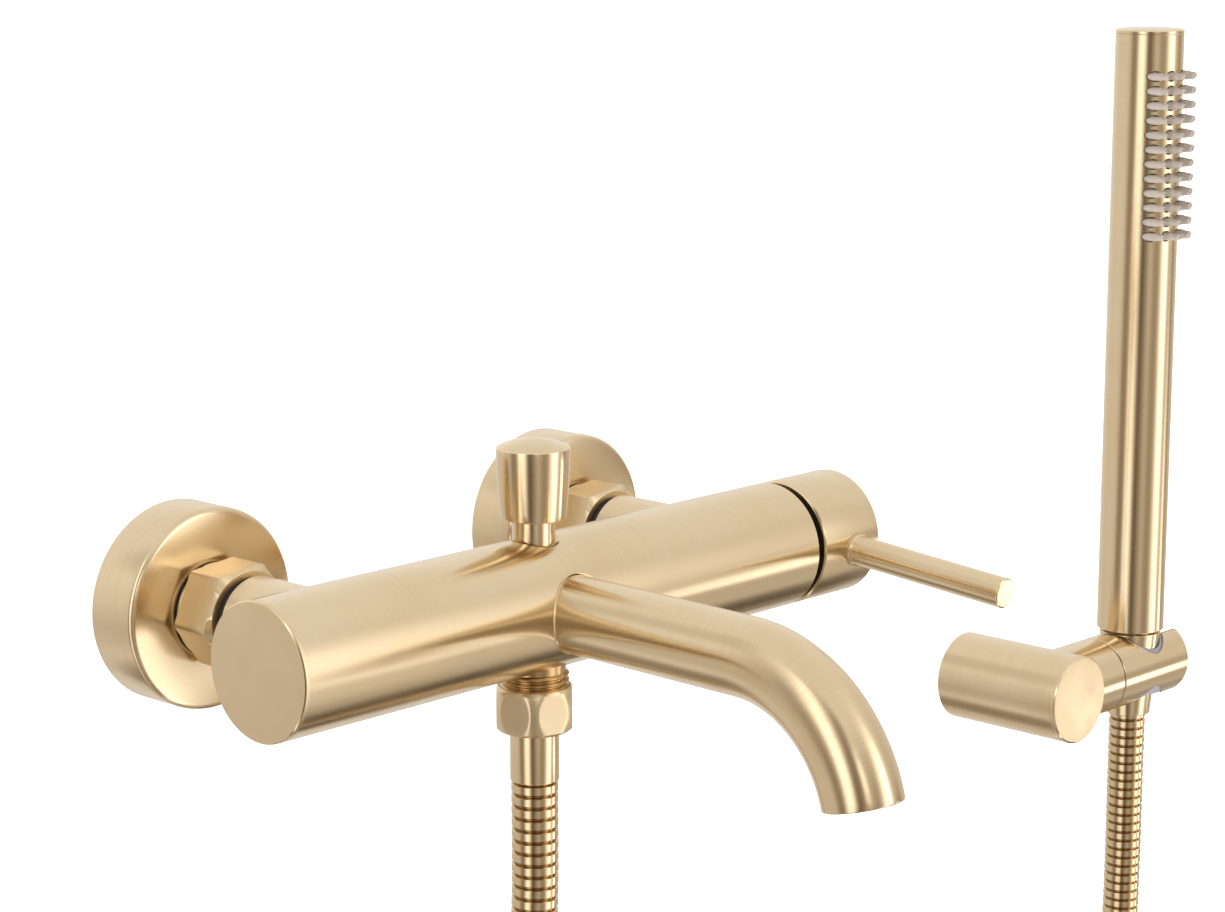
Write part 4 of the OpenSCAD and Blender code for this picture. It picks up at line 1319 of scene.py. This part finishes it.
@dataclass
class ShowerOutlet(SubAssembly):
    """The threaded outlet under the body, the hose's nut and its sleeve, in millimetres."""

    pipe_bore: float = 7.0
    thread_pitch: float = 1.8
    thread_r: float = 10.2
    thread_depth: float = 1.0
    nut_flats: float = 22.0
    nut_crown: float = 1.15
    nut_crown_shape: float = 0.6
    nut_turn: float = 14.0
    nut_hole: float = 6.6
    nut_mouth: float = 10.25
    nut_floor: float = 4.0
    sleeve_r: float = 7.2
    tail_r: float = 6.4
    sleeve_bore: float = 4.5

    def build(self) -> None:
        """Makes the threads, the nut and the sleeve."""
        self.threads()
        self.nut()
        self.sleeve()

    def threads(self) -> None:
        """Makes the outlet with one ring for each turn of its thread, set along a line by a node tree."""
        box, bore = Extent.of("outlet_nipple", Facing.UP), self.pipe_bore
        start, length, core = box.start, box.length, self.thread_r - self.thread_depth
        pipe = turned(
            "outlet_core", (Corner(bore, 0), Corner(core, 0, SOFT), Corner(core, length), Corner(bore, length)),
            Facing.UP, start, "plain_gold", 72, closed=True)
        low, half, high, root = 0.1, self.thread_pitch / 2, self.thread_pitch - 0.1, core - 0.4
        ring = turned("thread_turn", (
            Corner(root, low), Corner(core, low), Corner(self.thread_r, half - low, FINE),
            Corner(self.thread_r, half + low, FINE), Corner(core, high), Corner(root, high)),
            Facing.UP, Vector((0, 0, 0)), "plain_gold", 72, closed=True)
        tree, sizes = new_tree("thread turns", {
            "Turns": "NodeSocketInt", "Start": "NodeSocketVector", "Pitch": "NodeSocketVector",
            "Part": "NodeSocketObject"})
        line = add(tree, "GeometryNodeMeshLine", {
            "Count": sizes["Turns"], "Start Location": sizes["Start"], "Offset": sizes["Pitch"]})
        set_in_rows(tree, sizes, line.outputs[0], "plain_gold")
        turns = int((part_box("mixer_body")[0].z - start.z) / MM / self.thread_pitch)
        bpy.context.view_layer.update()
        outlet = run_tree("threaded_outlet", tree, pipe.data, {
            "Turns": turns, "Start": tuple(start), "Pitch": (0, 0, self.thread_pitch * MM), "Part": ring})
        bpy.data.objects.remove(pipe)
        bpy.data.objects.remove(ring)
        self.keep(outlet, "root", "brushed_gold", "outlet_nipple")

    def nut(self) -> None:
        """Makes the hose's nut, whose strong chamfers turn its flats into rounded panels."""
        length, low_r = Extent.of("hose_nut", Facing.UP).length, self.nut_flats / 2 - 0.08
        outline = [Corner(self.nut_hole, 0, EASED), Corner(10.4, 0, SOFT)]
        for k in range(1, 16):
            crown = self.nut_crown * math.sin(math.pi * k / 16) ** self.nut_crown_shape
            outline.append(Corner(low_r + crown, length * k / 16))
        outline += [
            Corner(10.7, length, SOFT), Corner(self.nut_mouth, length, CRISP), Corner(self.nut_mouth, self.nut_floor),
            Corner(self.nut_hole, self.nut_floor)]
        shape = hexagon(self.nut_flats, FINE, self.nut_turn)
        self.turn("hose_hex_nut", "hose_nut", "root", Facing.UP, outline, "satin_gold", sides=240, shape=shape,
                  closed=True)

    def sleeve(self) -> None:
        """Makes the crimped sleeve on the end of the hose."""
        box, r, tail, bore = Extent.of("hose_sleeve", Facing.UP), self.sleeve_r, self.tail_r, self.sleeve_bore
        shown = (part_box("hose_nut")[0].z - box.start.z) / MM
        outline = (
            Corner(bore, 0), Corner(r, 0, 0.35), Corner(r, shown - 0.2, EASED), Corner(tail, shown + 0.2),
            Corner(tail, box.length), Corner(bore, box.length))
        self.turn("crimp_sleeve", "hose_sleeve", "root", Facing.UP, outline, sides=72, closed=True)


@dataclass
class Bracket(SubAssembly):
    """The wall bracket, its front cap and the swivelling holder, in millimetres."""

    hole_r: float = 12.9
    spigot_step: float = 2.8
    cap_t: float = 2.0
    cap_chamfer: float = 0.6

    def build(self) -> None:
        """Makes the bracket and the holder."""
        cap, arm, hand = Extent.of("bracket_cap", Facing.FRONT), middle("holder"), middle("cone_nut")
        arm_r = (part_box("holder")[1].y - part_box("holder")[0].y) / 2
        tube = Round(Facing.FRONT, Vector((cap.start.x, 0, cap.start.z)), cap.radius * MM)
        arm_round = Round(Facing.RIGHT, arm, arm_r)
        self.keep(finished_copy("bracket_tube", [tube, arm_round]), "root", "brushed_gold", "bracket_tube")
        self.front_cap(cap.radius, cap.length)
        hole = Round(Facing.UP, Vector((hand.x, hand.y, 0)), self.hole_r * MM)
        self.keep(finished_copy("holder", [arm_round, hole]), "holder", "brushed_gold", "holder")

    def front_cap(self, r: float, depth: float) -> None:
        """Makes the flat front cap with its polished chamfer and a spigot."""
        back, spigot, cut = depth - self.cap_t, r - self.spigot_step, self.cap_chamfer
        outline = (
            Corner(0, 0), Corner(spigot, 0), Corner(spigot, back), Corner(r, back, FINE),
            Corner(r, depth - cut, CRISP, True), Corner(r - cut, depth, FINE), Corner(0, depth))
        self.turn("bracket_front", "bracket_cap", "root", Facing.FRONT, outline, "satin_gold", sides=144)


@dataclass
class HandShower(SubAssembly):
    """The stick hand shower: tube, end cap, conical nut and rows of soft nozzles, in millimetres."""

    nozzle_columns: int = 4
    nozzle_rows: int = 12
    nozzle_spread: float = 90.0
    nozzle_out: float = 6.0
    nozzle_r: float = 1.5
    nozzle_tip_r: float = 1.12
    row_margin: float = 4.0
    strip_depth: float = 2.8
    strip_t: float = 1.2
    strip_half: float = 62.0
    cap_t: float = 1.6
    cap_edge: float = 0.5
    plug_step: float = 1.5
    cone_low_r: float = 8.6
    cone_bore: float = 7.5
    cone_mouth: float = 9.7
    cone_depth: float = 9.0

    def build(self) -> None:
        """Makes every piece of the hand shower."""
        low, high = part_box("handset_cap")
        centre, r = (low + high) / 2, (high.x - low.x) / 2
        tube = finished_copy("handset_tube", [Round(Facing.UP, Vector((centre.x, centre.y, 0)), r)])
        self.keep(tube, "handset", "brushed_gold", "handset_tube")
        self.end_cap()
        self.cone()
        self.nozzles(centre, r)

    def end_cap(self) -> None:
        """Makes the cap on the top, set off by a fine seam."""
        box, edge = Extent.of("handset_cap", Facing.UP), self.cap_edge
        r, height, plug, seam = box.radius, box.length, box.radius - self.plug_step, box.length - self.cap_t
        outline = (
            Corner(0, 0), Corner(plug, 0), Corner(plug, seam), Corner(r, seam, FINE),
            Corner(r, height - edge, CRISP, True), Corner(r - edge, height, FINE), Corner(0, height))
        self.turn("hand_shower_end", "handset_cap", "handset", Facing.UP, outline, sides=120)

    def cone(self) -> None:
        """Makes the conical nut that joins the hose."""
        box, bore, mouth = Extent.of("cone_nut", Facing.UP), self.cone_bore, self.cone_mouth
        height, floor = box.length, box.length - self.cone_depth
        outline = (
            Corner(bore, 0, SOFT), Corner(self.cone_low_r, 0, ROUNDED), Corner(box.radius, height, SOFT),
            Corner(mouth, height, EASED), Corner(mouth, floor), Corner(bore, floor))
        self.turn("hose_cone", "cone_nut", "handset", Facing.UP, outline, sides=96, closed=True)

    def nozzle(self) -> bpy.types.Object:
        """Makes one nozzle with a small hole in its tip, which points to the front."""
        r, tip_r, tip = self.nozzle_r, self.nozzle_tip_r, self.nozzle_out
        return turned("nozzle", (
            Corner(0, -3), Corner(r, -3), Corner(r, tip - 3.6, 1.0), Corner(1.18, tip - 2.4, 1.0),
            Corner(tip_r, tip, 0.75), Corner(0.4, tip, 0.08), Corner(0.36, tip - 0.8), Corner(0, tip - 0.8)),
            Facing.FRONT, Vector((0, 0, 0)), "silicone", 20)

    def grid(self) -> bpy.types.NodeTree:
        """The tree that bends a grid of points round the tube and sets a nozzle on each."""
        tree, sizes = new_tree("nozzle grid", {
            "Columns": "NodeSocketInt", "Rows": "NodeSocketInt", "Height": "NodeSocketFloat",
            "Spread": "NodeSocketFloat", "Radius": "NodeSocketFloat", "Centre": "NodeSocketVector",
            "Part": "NodeSocketObject"})
        grid = add(tree, "GeometryNodeMeshGrid", {
            "Size X": sizes["Spread"], "Size Y": sizes["Height"], "Vertices X": sizes["Columns"],
            "Vertices Y": sizes["Rows"]})
        x, y, _ = add(tree, "ShaderNodeSeparateXYZ", {0: add(tree, "GeometryNodeInputPosition").outputs[0]}).outputs
        front = calculate(tree, "MULTIPLY", calculate(tree, "COSINE", x), -1.0)
        flat = add(tree, "ShaderNodeCombineXYZ", {0: calculate(tree, "SINE", x), 1: front}).outputs[0]
        around = add(tree, "ShaderNodeVectorMath", {0: flat, "Scale": sizes["Radius"]}, operation="SCALE")
        rise = add(tree, "ShaderNodeCombineXYZ", {2: y})
        place = add(tree, "ShaderNodeVectorMath", {0: around.outputs[0], 1: rise.outputs[0]}, operation="ADD")
        place = add(tree, "ShaderNodeVectorMath", {0: place.outputs[0], 1: sizes["Centre"]}, operation="ADD")
        bent = add(tree, "GeometryNodeSetPosition", {"Geometry": grid.outputs[0], "Position": place.outputs[0]})
        set_in_rows(tree, sizes, bent.outputs[0], "silicone")
        return tree

    def nozzles(self, centre: Vector, r: float) -> None:
        """Makes the soft strip with its nozzles."""
        low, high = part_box("nozzle_strip")
        nub, tree = self.nozzle(), self.grid()
        strip = self.strip(centre, r / MM - self.strip_depth, low.z, high.z)
        bpy.context.view_layer.update()
        piece = run_tree("soft_nozzles", tree, strip.data, {
            "Columns": self.nozzle_columns, "Rows": self.nozzle_rows,
            "Height": high.z - low.z - 2 * self.row_margin * MM, "Spread": math.radians(self.nozzle_spread),
            "Radius": r, "Centre": (centre.x, centre.y, (low.z + high.z) / 2), "Part": nub})
        bpy.data.objects.remove(nub)
        bpy.data.objects.remove(strip)
        self.keep(piece, "handset", "silicone", "nozzle_strip")

    def strip(self, centre: Vector, r: float, low: float, high: float) -> bpy.types.Object:
        """Makes the curved strip that carries the nozzles inside the tube."""
        columns, half = 24, math.radians(self.strip_half)
        verts, faces = [], []
        for reach in (r, r + self.strip_t):
            for z in (low, high):
                for k in range(columns + 1):
                    turn = half * (2 * k / columns - 1)
                    verts.append((centre.x + reach * MM * math.sin(turn), centre.y - reach * MM * math.cos(turn), z))
        row, wall = columns + 1, 2 * (columns + 1)
        for k in range(columns):
            faces += [
                (k, k + row, k + row + 1, k + 1), (wall + k, wall + k + 1, wall + row + k + 1, wall + row + k),
                (k, k + 1, wall + k + 1, wall + k), (row + k, wall + row + k, wall + row + k + 1, row + k + 1)]
        for k in (0, columns):
            side = (k, wall + k, wall + row + k, row + k)
            faces.append(side if k == 0 else side[::-1])
        uvs = [[(verts[v][0], verts[v][2]) for v in face] for face in faces]
        return make_piece("nozzle_carrier", verts, faces, uvs, ("silicone",), [0] * len(faces))


def dress_cad_nodes() -> None:
    """Gives each CAD node the finish of its own slot, and says so for those that stay in view."""
    for part in frame["record"]["subparts"]:
        node, slot = frame["nodes"][part["node"]], part["material_slot"]
        shown = "bare_brass" if slot == "brushed_gold" else slot
        node.data.materials.clear()
        node.data.materials.append(finish(shown))
        if not node.hide_render:
            LOG.info("%s stays with the finish %s", node.name, shown)


def main() -> None:
    """Builds the studio, the hose and each sub-assembly."""
    logging.basicConfig(level=logging.INFO, format="%(name)s %(message)s")
    bpy.context.scene.view_settings.view_transform = "Standard"
    Studio().build()
    groups = (Hose, WallUnions, Body, Handle, Spout, Diverter, ShowerOutlet, Bracket, HandShower)
    for group in groups:
        group().build()
    dress_cad_nodes()


if __name__ == "__main__":
    main()
